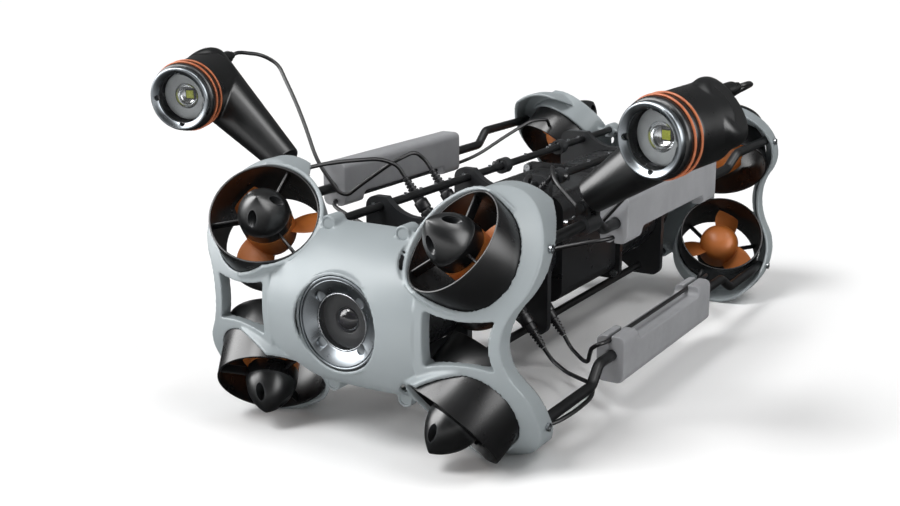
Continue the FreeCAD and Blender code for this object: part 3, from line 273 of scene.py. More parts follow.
def drawn_tube_black():
    """Black anodised drawn tube: faint draw lines, 0.6 mm apart and 40 mm long."""
    made, tree = new_material("anodised_drawn_tube")
    stretch = add(tree, "ShaderNodeMapping",
                  {"Vector": place_of(tree), "Scale": (1800.0, 25.0, 1800.0)})
    lines = add(tree, "ShaderNodeTexNoise", {"Vector": stretch.outputs["Vector"], "Scale": 1.0})
    spread = add(tree, "ShaderNodeMapRange",
                 {"Value": lines.outputs["Fac"], "To Min": 0.24, "To Max": 0.42})
    bump = add(tree, "ShaderNodeBump",
               {"Height": lines.outputs["Fac"], "Distance": 0.02 * MM, "Strength": 0.4})
    finish_with(tree, mottle(tree, "0F1011", "151617", 12.0), spread.outputs["Result"],
                bump.outputs["Normal"], Specular_IOR_Level=0.5)
    return made


def anodised_grey():
    """Aluminium bezel, turned and anodised grey: it mirrors the studio softly, light to dark."""
    made, tree = new_material("anodised_turned_grey")
    shade = mottle(tree, "7C8185", "868B8F", 12.0)
    finish_with(tree, shade, uneven(tree, 0.26, 0.32, 8.0), grain(tree, 0.5, 0.008, 0.2),
                Metallic=1.0)
    return made


def stainless_steel():
    """Stainless screw: bright machined metal with small scratches."""
    made, tree = new_material("stainless_steel_turned")
    finish_with(tree, mottle(tree, "9FA2A5", "C2C5C8", 1.5), uneven(tree, 0.2, 0.4, 0.8),
                grain(tree, 0.5, 0.02, 0.4), Metallic=1.0)
    return made


def reflector_aluminium():
    """Vacuum-coated bowl: mirror bright, softened by a slight orange-peel."""
    made, tree = new_material("vacuum_coated_bowl")
    finish_with(tree, mottle(tree, "D9DCDE", "F0F2F3", 6.0), uneven(tree, 0.16, 0.22, 5.0),
                grain(tree, 3.0, 0.02, 0.2), Metallic=1.0)
    return made


def moulded_diffuser():
    """Light grey moulded collar round the bowl: matte and even."""
    made, tree = new_material("moulded_diffuser_grey")
    finish_with(tree, mottle(tree, "B3B8BA", "BFC4C6", 8.0), uneven(tree, 0.45, 0.55, 6.0),
                grain(tree, 0.6, 0.015, 0.3))
    return made


def phosphor_chip():
    """LED under its phosphor: matte yellow-green gel with a faint grid of dies."""
    made, tree = new_material("led_phosphor")
    shade = mottle(tree, "B9C22C", "DDE55A", 1.2)
    finish_with(tree, shade, uneven(tree, 0.35, 0.5, 1.0), grain(tree, 0.5, 0.03, 0.4))
    return made


def clear_window():
    """Acrylic window: clear and polished, seen only by its reflections and a faint grey tint."""
    made, tree = new_material("polished_acrylic")
    finish_with(tree, mottle(tree, "0C0D0E", "121314", 12.0), uneven(tree, 0.02, 0.04, 6.0),
                Alpha=0.16, IOR=1.49, Specular_IOR_Level=1.0)
    return made


def coated_lens():
    """Camera objective: nearly black glass with a purple-blue coating and a sharp highlight."""
    made, tree = new_material("coated_objective_glass")
    finish_with(tree, mottle(tree, "050508", "0D0A18", 4.0), uneven(tree, 0.03, 0.06, 2.0),
                grain(tree, 1.5, 0.004, 0.1), Coat_Weight=1.0, Coat_Roughness=0.03,
                Specular_IOR_Level=0.8)
    return made


def moulded_rubber(name, dark, light, smooth=0.5, rough=0.68):
    """Moulded rubber: matte, even, with a fine talc-like grain."""
    made, tree = new_material(name)
    shade = worn(tree, mottle(tree, dark, light, 5.0), light, 0.3)
    finish_with(tree, shade, uneven(tree, smooth, rough, 4.0), grain(tree, 0.6, 0.03, 0.4))
    return made


def circuit_board():
    """Solder-masked glass-fibre board: dark green with paler tracks."""
    made, tree = new_material("solder_masked_board")
    finish_with(tree, mottle(tree, "0E3B24", "1B5A38", 3.0, 0.48, 0.52),
                uneven(tree, 0.3, 0.45, 4.0), grain(tree, 0.8, 0.05, 0.4))
    return made


# ---------------- CAD nodes
def coat(names, made):
    """Gives CAD nodes a material."""
    for name in names:
        mesh = frame["nodes"][name].data
        if not mesh.materials:
            mesh.materials.append(made)
        for i in range(len(mesh.materials)):
            mesh.materials[i] = made


def all_with(*starts):
    """Names of the CAD nodes that start with one of the words."""
    return [name for name in sorted(frame["nodes"]) if name.startswith(starts)]


def body_of(node):
    """The body that a CAD node rides on."""
    for body, members in frame["record"]["behaviour"]["bodies"].items():
        if node in members:
            return body
    raise RuntimeError("no body holds " + node)


def slot_of(node):
    """The record's material slot of a CAD node."""
    for part in frame["record"]["subparts"]:
        if part["node"] == node:
            return part["material_slot"]
    raise RuntimeError("no slot for " + node)


def stand_for(piece, node):
    """Lets a finished piece stand for one CAD node."""
    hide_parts(node)
    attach(piece, body_of(node))


# ---------------- making pieces
def clear_selection():
    """Leaves edit mode and deselects everything."""
    if bpy.context.mode != "OBJECT":
        bpy.ops.object.mode_set(mode="OBJECT")
    bpy.ops.object.select_all(action="DESELECT")


def activate(piece):
    """Selects one piece alone and makes it the active one."""
    clear_selection()
    piece.select_set(True)
    bpy.context.view_layer.objects.active = piece


def apply_modifiers(piece):
    """Applies a piece's modifiers in order."""
    activate(piece)
    for modifier in list(piece.modifiers):
        bpy.ops.object.modifier_apply(modifier=modifier.name)


def merged_copy(node, name, made):
    """A CAD node's mesh as a new piece, with its loose triangles joined up."""
    mesh = frame["nodes"][node].data.copy()
    mesh.materials.clear()
    mesh.materials.append(made)
    piece = bpy.data.objects.new(name, mesh)
    bpy.context.scene.collection.objects.link(piece)
    shell = bmesh.new()
    shell.from_mesh(mesh)
    bmesh.ops.remove_doubles(shell, verts=shell.verts, dist=0.002 * MM)
    shell.to_mesh(mesh)
    shell.free()
    return piece


def moulded_copy(node, voxel_mm, passes, keep, made):
    """A copy of a CAD node with softly rounded edges, thinned to a share of its triangles."""
    piece = merged_copy(node, node + "_moulded", made)
    remesh = piece.modifiers.new("even", "REMESH")
    remesh.mode = "VOXEL"
    remesh.voxel_size = voxel_mm * MM
    soften = piece.modifiers.new("soften", "SMOOTH")
    soften.factor = 0.5
    soften.iterations = passes
    thin = piece.modifiers.new("thin", "DECIMATE")
    thin.ratio = keep
    apply_modifiers(piece)
    bpy.ops.object.shade_smooth()
    return piece


def soft_shell(node, voxel_mm, passes, keep, made):
    """A softly rounded copy of a CAD node that stands for it."""
    stand_for(moulded_copy(node, voxel_mm, passes, keep, made), node)


def turned(name, profile, sides=96):
    """A turned piece about Z from (radius, height) pairs in millimetres."""
    radius, height = profile[0]
    clear_selection()
    bpy.ops.mesh.primitive_circle_add(vertices=sides, radius=radius * MM)
    piece = bpy.context.object
    piece.name = name
    bpy.ops.object.mode_set(mode="EDIT")
    bpy.ops.mesh.select_all(action="SELECT")
    bpy.ops.transform.translate(value=(0.0, 0.0, height * MM))
    for next_radius, next_height in profile[1:]:
        bpy.ops.mesh.extrude_edges_move(
            TRANSFORM_OT_translate={"value": (0.0, 0.0, (next_height - height) * MM)})
        if next_radius == 0.0:
            bpy.ops.mesh.merge(type="CENTER")
        else:
            grow = next_radius / radius
            bpy.ops.transform.resize(value=(grow, grow, 1.0),
                                     center_override=(0.0, 0.0, next_height * MM))
        radius, height = next_radius, next_height
    bpy.ops.mesh.select_all(action="SELECT")
    bpy.ops.mesh.remove_doubles(threshold=0.01 * MM)
    bpy.ops.mesh.normals_make_consistent(inside=False)
    bpy.ops.object.mode_set(mode="OBJECT")
    return piece


def arc_profile(start, middle, end, count):
    """Points on the arc through three (radius, height) pairs."""
    (x1, y1), (x2, y2), (x3, y3) = start, middle, end
    twice = 2 * (x1 * (y2 - y3) + x2 * (y3 - y1) + x3 * (y1 - y2))
    s1, s2, s3 = x1 * x1 + y1 * y1, x2 * x2 + y2 * y2, x3 * x3 + y3 * y3
    cx = (s1 * (y2 - y3) + s2 * (y3 - y1) + s3 * (y1 - y2)) / twice
    cy = (s1 * (x3 - x2) + s2 * (x1 - x3) + s3 * (x2 - x1)) / twice
    reach = math.hypot(x1 - cx, y1 - cy)
    first, last = math.atan2(y1 - cy, x1 - cx), math.atan2(y3 - cy, x3 - cx)
    turns = [first + (last - first) * i / count for i in range(count + 1)]
    return [(cx + reach * math.cos(t), cy + reach * math.sin(t)) for t in turns]


def bar(name, size, centre):
    """A block of a size round a centre, both in millimetres."""
    clear_selection()
    bpy.ops.mesh.primitive_cube_add(size=1.0, location=[c * MM for c in centre],
                                    scale=[s * MM for s in size])
    piece = bpy.context.object
    piece.name = name
    bpy.ops.object.transform_apply(location=True, rotation=True, scale=True)
    return piece


def round_edges(piece, width_mm, segments=3, angle=30.0):
    """Bevels the edges that are sharper than an angle in degrees."""
    bevel = piece.modifiers.new("edges", "BEVEL")
    bevel.width = width_mm * MM
    bevel.segments = segments
    bevel.limit_method = "ANGLE"
    bevel.angle_limit = math.radians(angle)
    bevel.use_clamp_overlap = True
    apply_modifiers(piece)


def cut_with(piece, cutter):
    """Cuts one piece with another, which is used up."""
    cut = piece.modifiers.new("cut", "BOOLEAN")
    cut.operation = "DIFFERENCE"
    cut.solver = "EXACT"
    cut.object = cutter
    apply_modifiers(piece)
    bpy.data.objects.remove(cutter)


def drill(piece, radius_mm, depth_mm, place, sides=48):
    """Cuts a round hole about Z, put in its place by a matrix."""
    clear_selection()
    bpy.ops.mesh.primitive_cylinder_add(vertices=sides, radius=radius_mm * MM, depth=depth_mm * MM)
    cutter = bpy.context.object
    cutter.data.transform(place)
    cut_with(piece, cutter)


def round_ring(radius_mm, thickness_mm, height_mm, sides):
    """A ring of round section about Z; sides counts round the section."""
    clear_selection()
    bpy.ops.mesh.primitive_torus_add(major_segments=128, minor_segments=sides,
                                     major_radius=radius_mm * MM, minor_radius=thickness_mm * MM)
    ring = bpy.context.object
    ring.data.transform(Matrix.Translation((0.0, 0.0, height_mm * MM)))
    return ring


def about_z(degrees):
    """A turn about Z, as a matrix."""
    return Matrix.Rotation(math.radians(degrees), 4, "Z")


def join(pieces, name):
    """Several pieces as one, under a new name."""
    activate(pieces[0])
    for piece in pieces[1:]:
        piece.select_set(True)
    bpy.ops.object.join()
    joined = bpy.context.object
    joined.name = name
    return joined


def copy_of(piece, name, place):
    """A copy with its own mesh, moved by a matrix that may mirror it."""
    made = bpy.data.objects.new(name, piece.data.copy())
    bpy.context.scene.collection.objects.link(made)
    made.data.transform(place)
    if place.determinant() < 0:
        made.data.flip_normals()
    return made


def dress(piece, made, body, slot, *nodes):
    """Gives a finished piece its material and body, and says which nodes it stands for; its slot is not used."""
    piece.data.materials.clear()
    piece.data.materials.append(made)
    activate(piece)
    bpy.ops.object.shade_smooth_by_angle(angle=math.radians(35.0))
    if nodes:
        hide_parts(*nodes)
    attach(piece, body)


# ---------------- places
def row_point(ahead, port, up):
    """A point from its distance ahead of the front sockets, to port and above the middle."""
    return Vector((port, -ahead - SOCKET_PLANE, up + CENTRE_HEIGHT))


def light_place(side):
    """The local frame of a work light, Z out of its bezel and X up; side is 1 to port."""
    level = math.cos(LIGHT_DIP)
    look = Vector((-level * math.sin(LIGHT_TOE), -level * math.cos(LIGHT_TOE),
                   -math.sin(LIGHT_DIP)))
    up = Vector((0.0, 0.0, 1.0))
    up = (up - look * up.dot(look)).normalized()
    place = Matrix((up, look.cross(up), look)).transposed().to_4x4()
    port, behind, high = (v * MM for v in LIGHT_PLACE)
    place.translation = row_point(-behind, port, high)
    return Matrix.Diagonal((side, 1.0, 1.0, 1.0)) @ place


def thruster_places():
    """Each thruster's name and the matrix of its local frame, Z out of its nose from the rim."""
    places = {}
    for joint in frame["joints"]:
        if not joint["child"].startswith("propeller_"):
            continue
        nose = Vector(joint["axis"]).normalized()
        side = math.copysign(1.0, joint["pos_m"][0])
        outboard = Vector((side, 0.0, 0.0))
        outboard = (outboard - nose * outboard.dot(nose)).normalized()
        across = nose.cross(outboard) * math.copysign(1.0, nose.x * nose.y * nose.z)
        place = Matrix((outboard, across, nose)).transposed().to_4x4()
        place.translation = Vector(joint["pos_m"]) + nose * HUB_BACK
        places[joint["child"].replace("propeller_", "")] = place
    return places


# ---------------- settings
class ColourSettings(bpy.types.PropertyGroup):
    """Colours that a user would change."""

    frame: FloatVectorProperty(name="Frames", description="End frames", subtype="COLOR",
                               size=4, default=linear("929A9D"))
    float_block: FloatVectorProperty(name="Float blocks", description="Float blocks",
                                     subtype="COLOR", size=4, default=linear("9D9EA1"))
    float_patch: FloatVectorProperty(name="Float patches", description="Their darker patches",
                                     subtype="COLOR", size=4, default=linear("949598"))
    propeller: FloatVectorProperty(name="Propellers", description="Propellers",
                                   subtype="COLOR", size=4, default=linear("C4733A"))
    propeller_patch: FloatVectorProperty(name="Propeller patches", subtype="COLOR", size=4,
                                         description="Their darker patches",
                                         default=linear("B4672C"))
    ring: FloatVectorProperty(name="Light rings", description="Rings round the work lights",
                              subtype="COLOR", size=4, default=linear("C4744C"))
    ring_patch: FloatVectorProperty(name="Ring patches", description="Their darker patches",
                                    subtype="COLOR", size=4, default=linear("B5603A"))


class SizeSettings(bpy.types.PropertyGroup):
    """Sizes that a user would change."""

    soft_voxel: FloatProperty(name="Frame voxel (mm)", default=0.8, min=0.6, max=4.0,
                              description="Mesh size of the end frames, in millimetres")
    soft_passes: IntProperty(name="Softening", default=6, min=0, max=20,
                             description="Smoothing passes on the end frames")
    lens: FloatProperty(name="Lens", description="Focal length of the camera", unit="CAMERA",
                        default=49.41, min=20.0, max=200.0)


class VehicleOperator:
    """Shared options of this file's operators."""

    bl_options = {"REGISTER", "UNDO"}


# ---------------- stage
def set_camera(scene):
    """The camera, from its direction and distance in the front sockets' frame."""
    level = math.cos(CAMERA_PITCH)
    back = Vector((level * math.cos(CAMERA_AZIMUTH), level * math.sin(CAMERA_AZIMUTH),
                   math.sin(CAMERA_PITCH)))
    flat = Vector((-math.sin(CAMERA_AZIMUTH), math.cos(CAMERA_AZIMUTH), 0.0))
    rise = back.cross(flat)
    right = flat * math.cos(CAMERA_ROLL) + rise * math.sin(CAMERA_ROLL)
    up = rise * math.cos(CAMERA_ROLL) - flat * math.sin(CAMERA_ROLL)
    place = back * CAMERA_DISTANCE + right * CAMERA_RIGHT + up * CAMERA_UP
    columns = [Vector((v.y, -v.x, v.z)) for v in (right, up, back)]
    stand = Matrix(columns).transposed().to_4x4()
    stand.translation = row_point(*place)
    lens = bpy.data.cameras.new("camera")
    lens.lens = scene.vehicle_sizes.lens
    lens.sensor_width = SENSOR_MM
    lens.clip_start = 0.01
    camera = bpy.data.objects.new("camera", lens)
    scene.collection.objects.link(camera)
    camera.matrix_world = stand
    scene.camera = camera


def set_floor():
    """A plain white floor; reflections see a bright card ahead of the vehicle in its place."""
    clear_selection()
    bpy.ops.mesh.primitive_plane_add(size=12.0, location=(0, 0, -0.2 * MM))
    floor = bpy.context.object
    floor.name = "floor"
    made, tree = new_material("pale_floor")
    paper = add(tree, "ShaderNodeBsdfDiffuse", {"Color": linear("FFFFFF")})
    spot = add(tree, "ShaderNodeSeparateXYZ", {"Vector": place_of(tree)})
    ahead = add(tree, "ShaderNodeMapRange", {"Value": spot.outputs["Y"], "From Min": -0.3,
                                             "From Max": -0.8, "To Min": 0.03, "To Max": 1.5})
    card = add(tree, "ShaderNodeEmission", {"Strength": ahead.outputs["Result"]})
    path = add(tree, "ShaderNodeLightPath")
    mix = add(tree, "ShaderNodeMixShader", {0: path.outputs["Is Glossy Ray"],
                                            1: paper.outputs["BSDF"], 2: card.outputs["Emission"]})
    add(tree, "ShaderNodeOutputMaterial", {"Surface": mix.outputs["Shader"]})
    floor.data.materials.append(made)


def aim_lamp(name, kind, place, aim, **settings):
    """A lamp of a kind that stands at a place and looks at a point."""
    lamp = bpy.data.lights.new(name, kind)
    for key, value in settings.items():
        setattr(lamp, key, value)
    made = bpy.data.objects.new(name, lamp)
    bpy.context.scene.collection.objects.link(made)
    made.location = place
    made.rotation_euler = (Vector(aim) - Vector(place)).to_track_quat("-Z", "Y").to_euler()


def softbox(tree, way, wide, soft, strength):
    """A round softbox in the sky: its direction, bright and soft half angles, and strength."""
    sky = add(tree, "ShaderNodeTexCoord")
    lean = add(tree, "ShaderNodeVectorMath",
               {0: sky.outputs["Generated"], 1: Vector(way).normalized()}, operation="DOT_PRODUCT")
    edge = add(tree, "ShaderNodeMapRange", {
        "Value": lean.outputs["Value"], "From Min": math.cos(math.radians(soft)),
        "From Max": math.cos(math.radians(wide)), "To Min": 0.0, "To Max": strength},
        interpolation_type="SMOOTHSTEP")
    return edge.outputs["Result"]


def set_lights(scene):
    """Two soft suns, a key light, an even sky, and softboxes that only reflections see."""
    middle = (0.0, -0.05, 0.1)
    aim_lamp("sun", "SUN", (-0.7, -1.4, 2.4), middle, energy=1.5, angle=math.radians(22.0))
    aim_lamp("second_sun", "SUN", (1.3, 0.1, 2.6), middle, energy=0.75, angle=math.radians(25.0))
    aim_lamp("key", "AREA", (-0.75, -1.3, 0.9), middle, energy=6.0, shape="RECTANGLE",
             size=0.5, size_y=0.8)
    world = bpy.data.worlds.new("studio")
    world.use_nodes = True
    tree = world.node_tree
    tree.nodes.clear()
    path = add(tree, "ShaderNodeLightPath")
    seen = add(tree, "ShaderNodeMath",
               {0: path.outputs["Is Camera Ray"], 1: path.outputs["Is Transmission Ray"]},
               operation="MAXIMUM")
    left = softbox(tree, (-0.81, -0.37, 0.45), 16.0, 34.0, 8.5)
    right = softbox(tree, (0.93, -0.02, 0.22), 18.0, 36.0, 5.5)
    above = softbox(tree, (0.1, -0.1, 1.0), 18.0, 38.0, 1.6)
    pair = add(tree, "ShaderNodeMath", {0: left, 1: right}, operation="ADD")
    boxes = add(tree, "ShaderNodeMath", {0: pair.outputs["Value"], 1: above}, operation="ADD")
    lift = add(tree, "ShaderNodeMath", {0: boxes.outputs["Value"], 1: 0.12}, operation="ADD")
    fill = add(tree, "ShaderNodeBackground", {"Color": linear("FFFFFF"), "Strength": 0.42})
    mirror = add(tree, "ShaderNodeBackground", {"Color": linear("FFFFFF"),
                                                "Strength": lift.outputs["Value"]})
    white = add(tree, "ShaderNodeBackground", {"Color": linear("FFFFFF"), "Strength": 1.0})
    lit = add(tree, "ShaderNodeMixShader", {0: path.outputs["Is Glossy Ray"],
                                            1: fill.outputs["Background"],
                                            2: mirror.outputs["Background"]})
    mix = add(tree, "ShaderNodeMixShader", {0: seen.outputs["Value"], 1: lit.outputs["Shader"],
                                            2: white.outputs["Background"]})
    add(tree, "ShaderNodeOutputWorld", {"Surface": mix.outputs["Shader"]})
    scene.world = world


class VEHICLE_OT_stage(VehicleOperator, bpy.types.Operator):
    """Sets the camera, the floor and the studio light"""

    bl_idname = "vehicle.stage"
    bl_label = "Camera, floor and light"

    def execute(self, context):
        scene = context.scene
        scene.view_settings.view_transform = "Standard"
        set_camera(scene)
        set_floor()
        set_lights(scene)
        return {"FINISHED"}


# ---------------- frames, thrusters, bars, floats and hull
class VEHICLE_OT_end_frames(VehicleOperator, bpy.types.Operator):
    """Moulds both end frames with soft edges"""

    bl_idname = "vehicle.end_frames"
    bl_label = "End frames"

    def execute(self, context):
        sizes = context.scene.vehicle_sizes
        made = moulded_nylon_grey(context.scene.vehicle_colours.frame)
        front = moulded_copy("front_frame", sizes.soft_voxel, sizes.soft_passes, FRAME_KEEP, made)
        aft = Matrix.Diagonal((1.0, -1.0, 1.0, 1.0))
        rear = copy_of(front, "rear_frame_moulded", aft)
        stand_for(front, "front_frame")
        stand_for(rear, "rear_frame")
        coat(["socket_plugs"], made)
        return {"FINISHED"}


def duct_piece():
    """A duct whose rim falls back on one side, three thin struts and its pod housing."""
    outer, inner, low = DUCT_RADIUS, DUCT_RADIUS - DUCT_WALL, -DUCT_LENGTH
    wall = turned("duct", [(inner, low), (outer, low), (outer, 0.0), (inner, 0.0), (inner, low)],
                  160)
    fall = bar("fall", (80.0, 120.0, 40.0), (-40.0, 0.0, 20.0))
    fall.data.transform(about_z(RIM_TURN) @ Matrix.Rotation(-RIM_FALL, 4, "Y"))
    cut_with(wall, fall)
    round_edges(wall, 0.5, 3, 50.0)
    housing = turned("housing", [
        (POD_RADIUS - 1.4, POD_BACK), (POD_RADIUS - 0.4, POD_BACK + 0.4),
        (POD_RADIUS, POD_BACK + 1.4), (POD_RADIUS, -1.4), (POD_RADIUS - 0.4, -1.0), (2.0, -1.0)])
    pieces = [wall, housing]
    reach = inner + DUCT_WALL / 2 - POD_RADIUS + 2.0
    for turn in STRUT_TURNS:
        strut = bar("strut", (reach, STRUT_WIDTH, STRUT_DEPTH),
                    (POD_RADIUS - 2.0 + reach / 2, 0.0, STRUT_MIDDLE))
        round_edges(strut, 0.8, 3)
        strut.data.transform(about_z(turn))
        pieces.append(strut)
    return join(pieces, "duct")


def nose_piece():
    """A pointed nose with three oval drain holes through its flank."""
    flank = arc_profile((POD_RADIUS, -1.0), (POD_RADIUS * 0.74, (NOSE_TIP - 1.0) / 2),
                        (0.6, NOSE_TIP), 24)
    nose = turned("nose", [(2.0, -0.9), (POD_RADIUS - 0.3, -0.9)] + flank + [(0.0, NOSE_TIP)])
    lie = Matrix.Rotation(math.radians(90.0), 4, "Y")
    oval = Matrix.Diagonal((1.0, 1.0, NOSE_HOLE_STRETCH, 1.0)) @ lie
    for turn in NOSE_HOLE_TURNS:
        place = about_z(turn) @ Matrix.Translation([p * MM for p in NOSE_HOLE_PLACE])
        drill(nose, NOSE_HOLE_RADIUS, 20.0, place @ oval)
    round_edges(nose, 0.35, 3, 40.0)
    return nose


class VEHICLE_OT_thrusters(VehicleOperator, bpy.types.Operator):
    """Models the ducts and noses, and finishes the propellers and motors"""

    bl_idname = "vehicle.thrusters"
    bl_label = "Thrusters"

    def execute(self, context):
        colours = context.scene.vehicle_colours
        black, pod = moulded_abs_black(), moulded_pod_black()
        orange = moulded_nylon_orange(colours.propeller_patch, colours.propeller)
        duct, nose = duct_piece(), nose_piece()
        places = thruster_places()
        noses = []
        for name, place in places.items():
            shell = copy_of(duct, "ducted_ring_" + name, place)
            dress(shell, black, ROOT, slot_of("duct_" + name), "duct_" + name)
            noses.append(copy_of(nose, "nose_" + name, place))
        coat(all_with("propeller_"), orange)
        bpy.data.objects.remove(duct)
        bpy.data.objects.remove(nose)
        dress(join(noses, "pointed_noses"), pod, ROOT, slot_of("thruster_noses"), "thruster_noses")
        coat(["motor_stators"], stainless_steel())
        return {"FINISHED"}


class VEHICLE_OT_bars(VehicleOperator, bpy.types.Operator):
    """Finishes the tubes, side bars and their screws"""

    bl_idname = "vehicle.bars"
    bl_label = "Tubes, bars and screws"

    def execute(self, context):
        coat(["inner_tubes", "side_bars"], drawn_tube_black())
        coat(["frame_screws", "tube_screws", "flange_bolts", "clamp_bolts"], stainless_steel())
        coat(["tube_clamps", "light_clamps", "hull_brackets"],
             anodised_black("anodised_clamp_black", 0.3, 0.45))
        return {"FINISHED"}


class VEHICLE_OT_floats(VehicleOperator, bpy.types.Operator):
    """Moulds the float blocks with soft edges"""

    bl_idname = "vehicle.floats"
    bl_label = "Float blocks"

    def execute(self, context):
        colours = context.scene.vehicle_colours
        made = moulded_float_grey(colours.float_patch, colours.float_block)
        for node in all_with("float_blocks"):
            soft_shell(node, *FLOAT_SHELL, made)
        return {"FINISHED"}


class VEHICLE_OT_hull(VehicleOperator, bpy.types.Operator):
    """Finishes the pressure hull and the battery box"""

    bl_idname = "vehicle.hull"
    bl_label = "Hull"

    def execute(self, context):
        coat(["camera_housing", "rear_drum", "drum_cap", "tail_plate"],
             anodised_black("anodised_hull_black", 0.22, 0.36))
        coat(["battery_box", "battery_flange"], moulded_abs_black())
        coat(["control_board"], circuit_board())
        coat(["tether_gland"], moulded_rubber("moulded_gland_black", "151516", "202123"))
        return {"FINISHED"}


# ---------------- camera
def bezel_piece():
    """Camera bezel about Z from its front: thin outer ring, cone, and four half-round pockets."""
    piece = turned("bezel", [
        (31.0, -32.0), (31.0, -0.6), (30.7, -0.15), (30.2, 0.0), (29.3, 0.0), (29.0, -0.2),
        (28.9, -1.1), (28.4, -1.1), (28.3, -0.7), (28.0, -0.6), (19.7, -3.9), (19.3, -4.3),
        (19.2, -12.0), (26.0, -12.1), (26.0, -32.0), (31.0, -32.0)], 160)
    for turn in POCKET_TURNS:
        place = about_z(turn) @ Matrix.Translation((POCKET_CENTRE * MM, 0.0, 0.8 * MM))
        drill(piece, POCKET_RADIUS, 10.0, place)
    round_edges(piece, 0.12, 2, 35.0)
    return piece


def eye_pieces():
    """What shows in the bezel's bore, about Z from the bezel's front."""
    window = turned("window", [(0.5, -5.6), (18.9, -5.6), (18.9, -4.8), (0.5, -4.8)], 96)
    disc = turned("disc", [(8.7, -13.0), (18.9, -13.0), (18.9, -10.0), (18.4, -9.8), (9.6, -9.9),
                           (8.9, -10.3), (8.7, -11.0)], 96)
    dome = turned("dome", [(8.6, -12.5), (8.6, -11.0)]
                  + arc_profile((8.6, -10.6), (6.2, -8.2), (0.4, -6.6), 14) + [(0.0, -6.6)], 96)
    ring = round_ring(WINDOW_RING_RADIUS, WINDOW_RING_THICKNESS, WINDOW_RING_HEIGHT, 12)
    disc_grey = moulded_rubber("moulded_camera_grey", "3A3B3D", "3F4042", 0.3, 0.4)
    return {"camera_window": (window, clear_window()), "camera_body": (disc, disc_grey),
            "camera_lens": (dome, coated_lens()), "camera_bezel": (bezel_piece(), anodised_grey()),
            "window_ring": (ring, stainless_steel())}


class VEHICLE_OT_camera_eye(VehicleOperator, bpy.types.Operator):
    """Models the camera's bezel, window, disc and objective"""

    bl_idname = "vehicle.camera_eye"
    bl_label = "Camera"

    def execute(self, context):
        look_ahead = Matrix.Rotation(math.radians(90.0), 4, "X")
        place = Matrix.Translation(row_point(BEZEL_FRONT * MM, 0.0, 0.0)) @ look_ahead
        for name, (piece, finish) in eye_pieces().items():
            piece.name = name + "_piece"
            piece.data.transform(place)
            if name == "window_ring":
                dress(piece, finish, ROOT, slot_of("camera_bezel"))
            else:
                dress(piece, finish, ROOT, slot_of(name), name)
        return {"FINISHED"}


# ---------------- work lights
def ring_with_notches():
    """Light bezel about Z: rounded outer edge, inward slope and four small round notches."""
    piece = turned("light_bezel", [
        (17.7, -4.4), (23.0, -4.4), (23.0, -1.4), (22.7, -0.7), (22.1, -0.15), (21.5, 0.0),
        (21.0, -0.15), (18.1, -1.9), (17.7, -2.4), (17.7, -4.4)], 128)
    for turn in NOTCH_TURNS:
        place = about_z(turn) @ Matrix.Translation((NOTCH_CENTRE * MM, 0.0, -2.0 * MM))
        drill(piece, NOTCH_RADIUS, 12.0, place, 32)
    round_edges(piece, 0.15, 2, 40.0)
    return piece


def light_pieces():
    """A work light's modelled pieces about its own axis, each under its part's name."""
    collar = turned("diffuser", [
        (17.3, -13.5), (17.3, -12.2), (16.9, -11.8), (15.6, -11.4), (9.6, -11.9), (9.2, -12.4)], 96)
    bowl = turned("bowl", arc_profile((9.25, -12.2), (7.4, -16.3), (2.5, -18.4), 16)
                  + [(0.0, -18.4)], 96)
    carrier = bar("carrier", (7.6, 7.6, 1.2), (0.0, 0.0, -18.0))
    round_edges(carrier, 0.3, 2)
    chip = bar("chip", (5.6, 5.6, 1.2), (0.0, 0.0, -17.2))
    round_edges(chip, 0.35, 3)
    rings = [round_ring(RING_RADIUS, RING_THICKNESS, height, 16) for height in RING_HEIGHTS]
    return {"bezel": ring_with_notches(), "reflector": bowl, "collar": collar,
            "carrier": carrier, "emitter": chip, "rings": join(rings, "rings")}


class VEHICLE_OT_work_lights(VehicleOperator, bpy.types.Operator):
    """Models the work lights' bezels, bowls and rings, and softens their heads"""

    bl_idname = "vehicle.work_lights"
    bl_label = "Work lights"

    def execute(self, context):
        colours = context.scene.vehicle_colours
        made = {
            "bezel": anodised_grey(), "reflector": reflector_aluminium(),
            "collar": moulded_diffuser(), "emitter": phosphor_chip(),
            "carrier": moulded_rubber("moulded_carrier_black", "101011", "161617", 0.35, 0.5),
            "rings": moulded_rubber("moulded_ring_orange", colours.ring_patch, colours.ring,
                                    0.36, 0.46),
        }
        slots = {"collar": "reflector", "carrier": "head"}
        black, glass = anodised_black("anodised_light_black", 0.27, 0.33), clear_window()
        pieces = light_pieces()
        for side, sign in (("port", 1.0), ("stbd", -1.0)):
            node = "light_%s_" % side
            for part, source in pieces.items():
                piece = copy_of(source, node + part + "_piece", light_place(sign))
                stands = [] if part in slots else [node + part]
                dress(piece, made[part], "light_" + side, slot_of(node + slots.get(part, part)),
                      *stands)
            coat([node + "lens"], glass)
            soft_shell(node + "head", *HEAD_SHELL, black)
        for source in pieces.values():
            bpy.data.objects.remove(source)
        return {"FINISHED"}


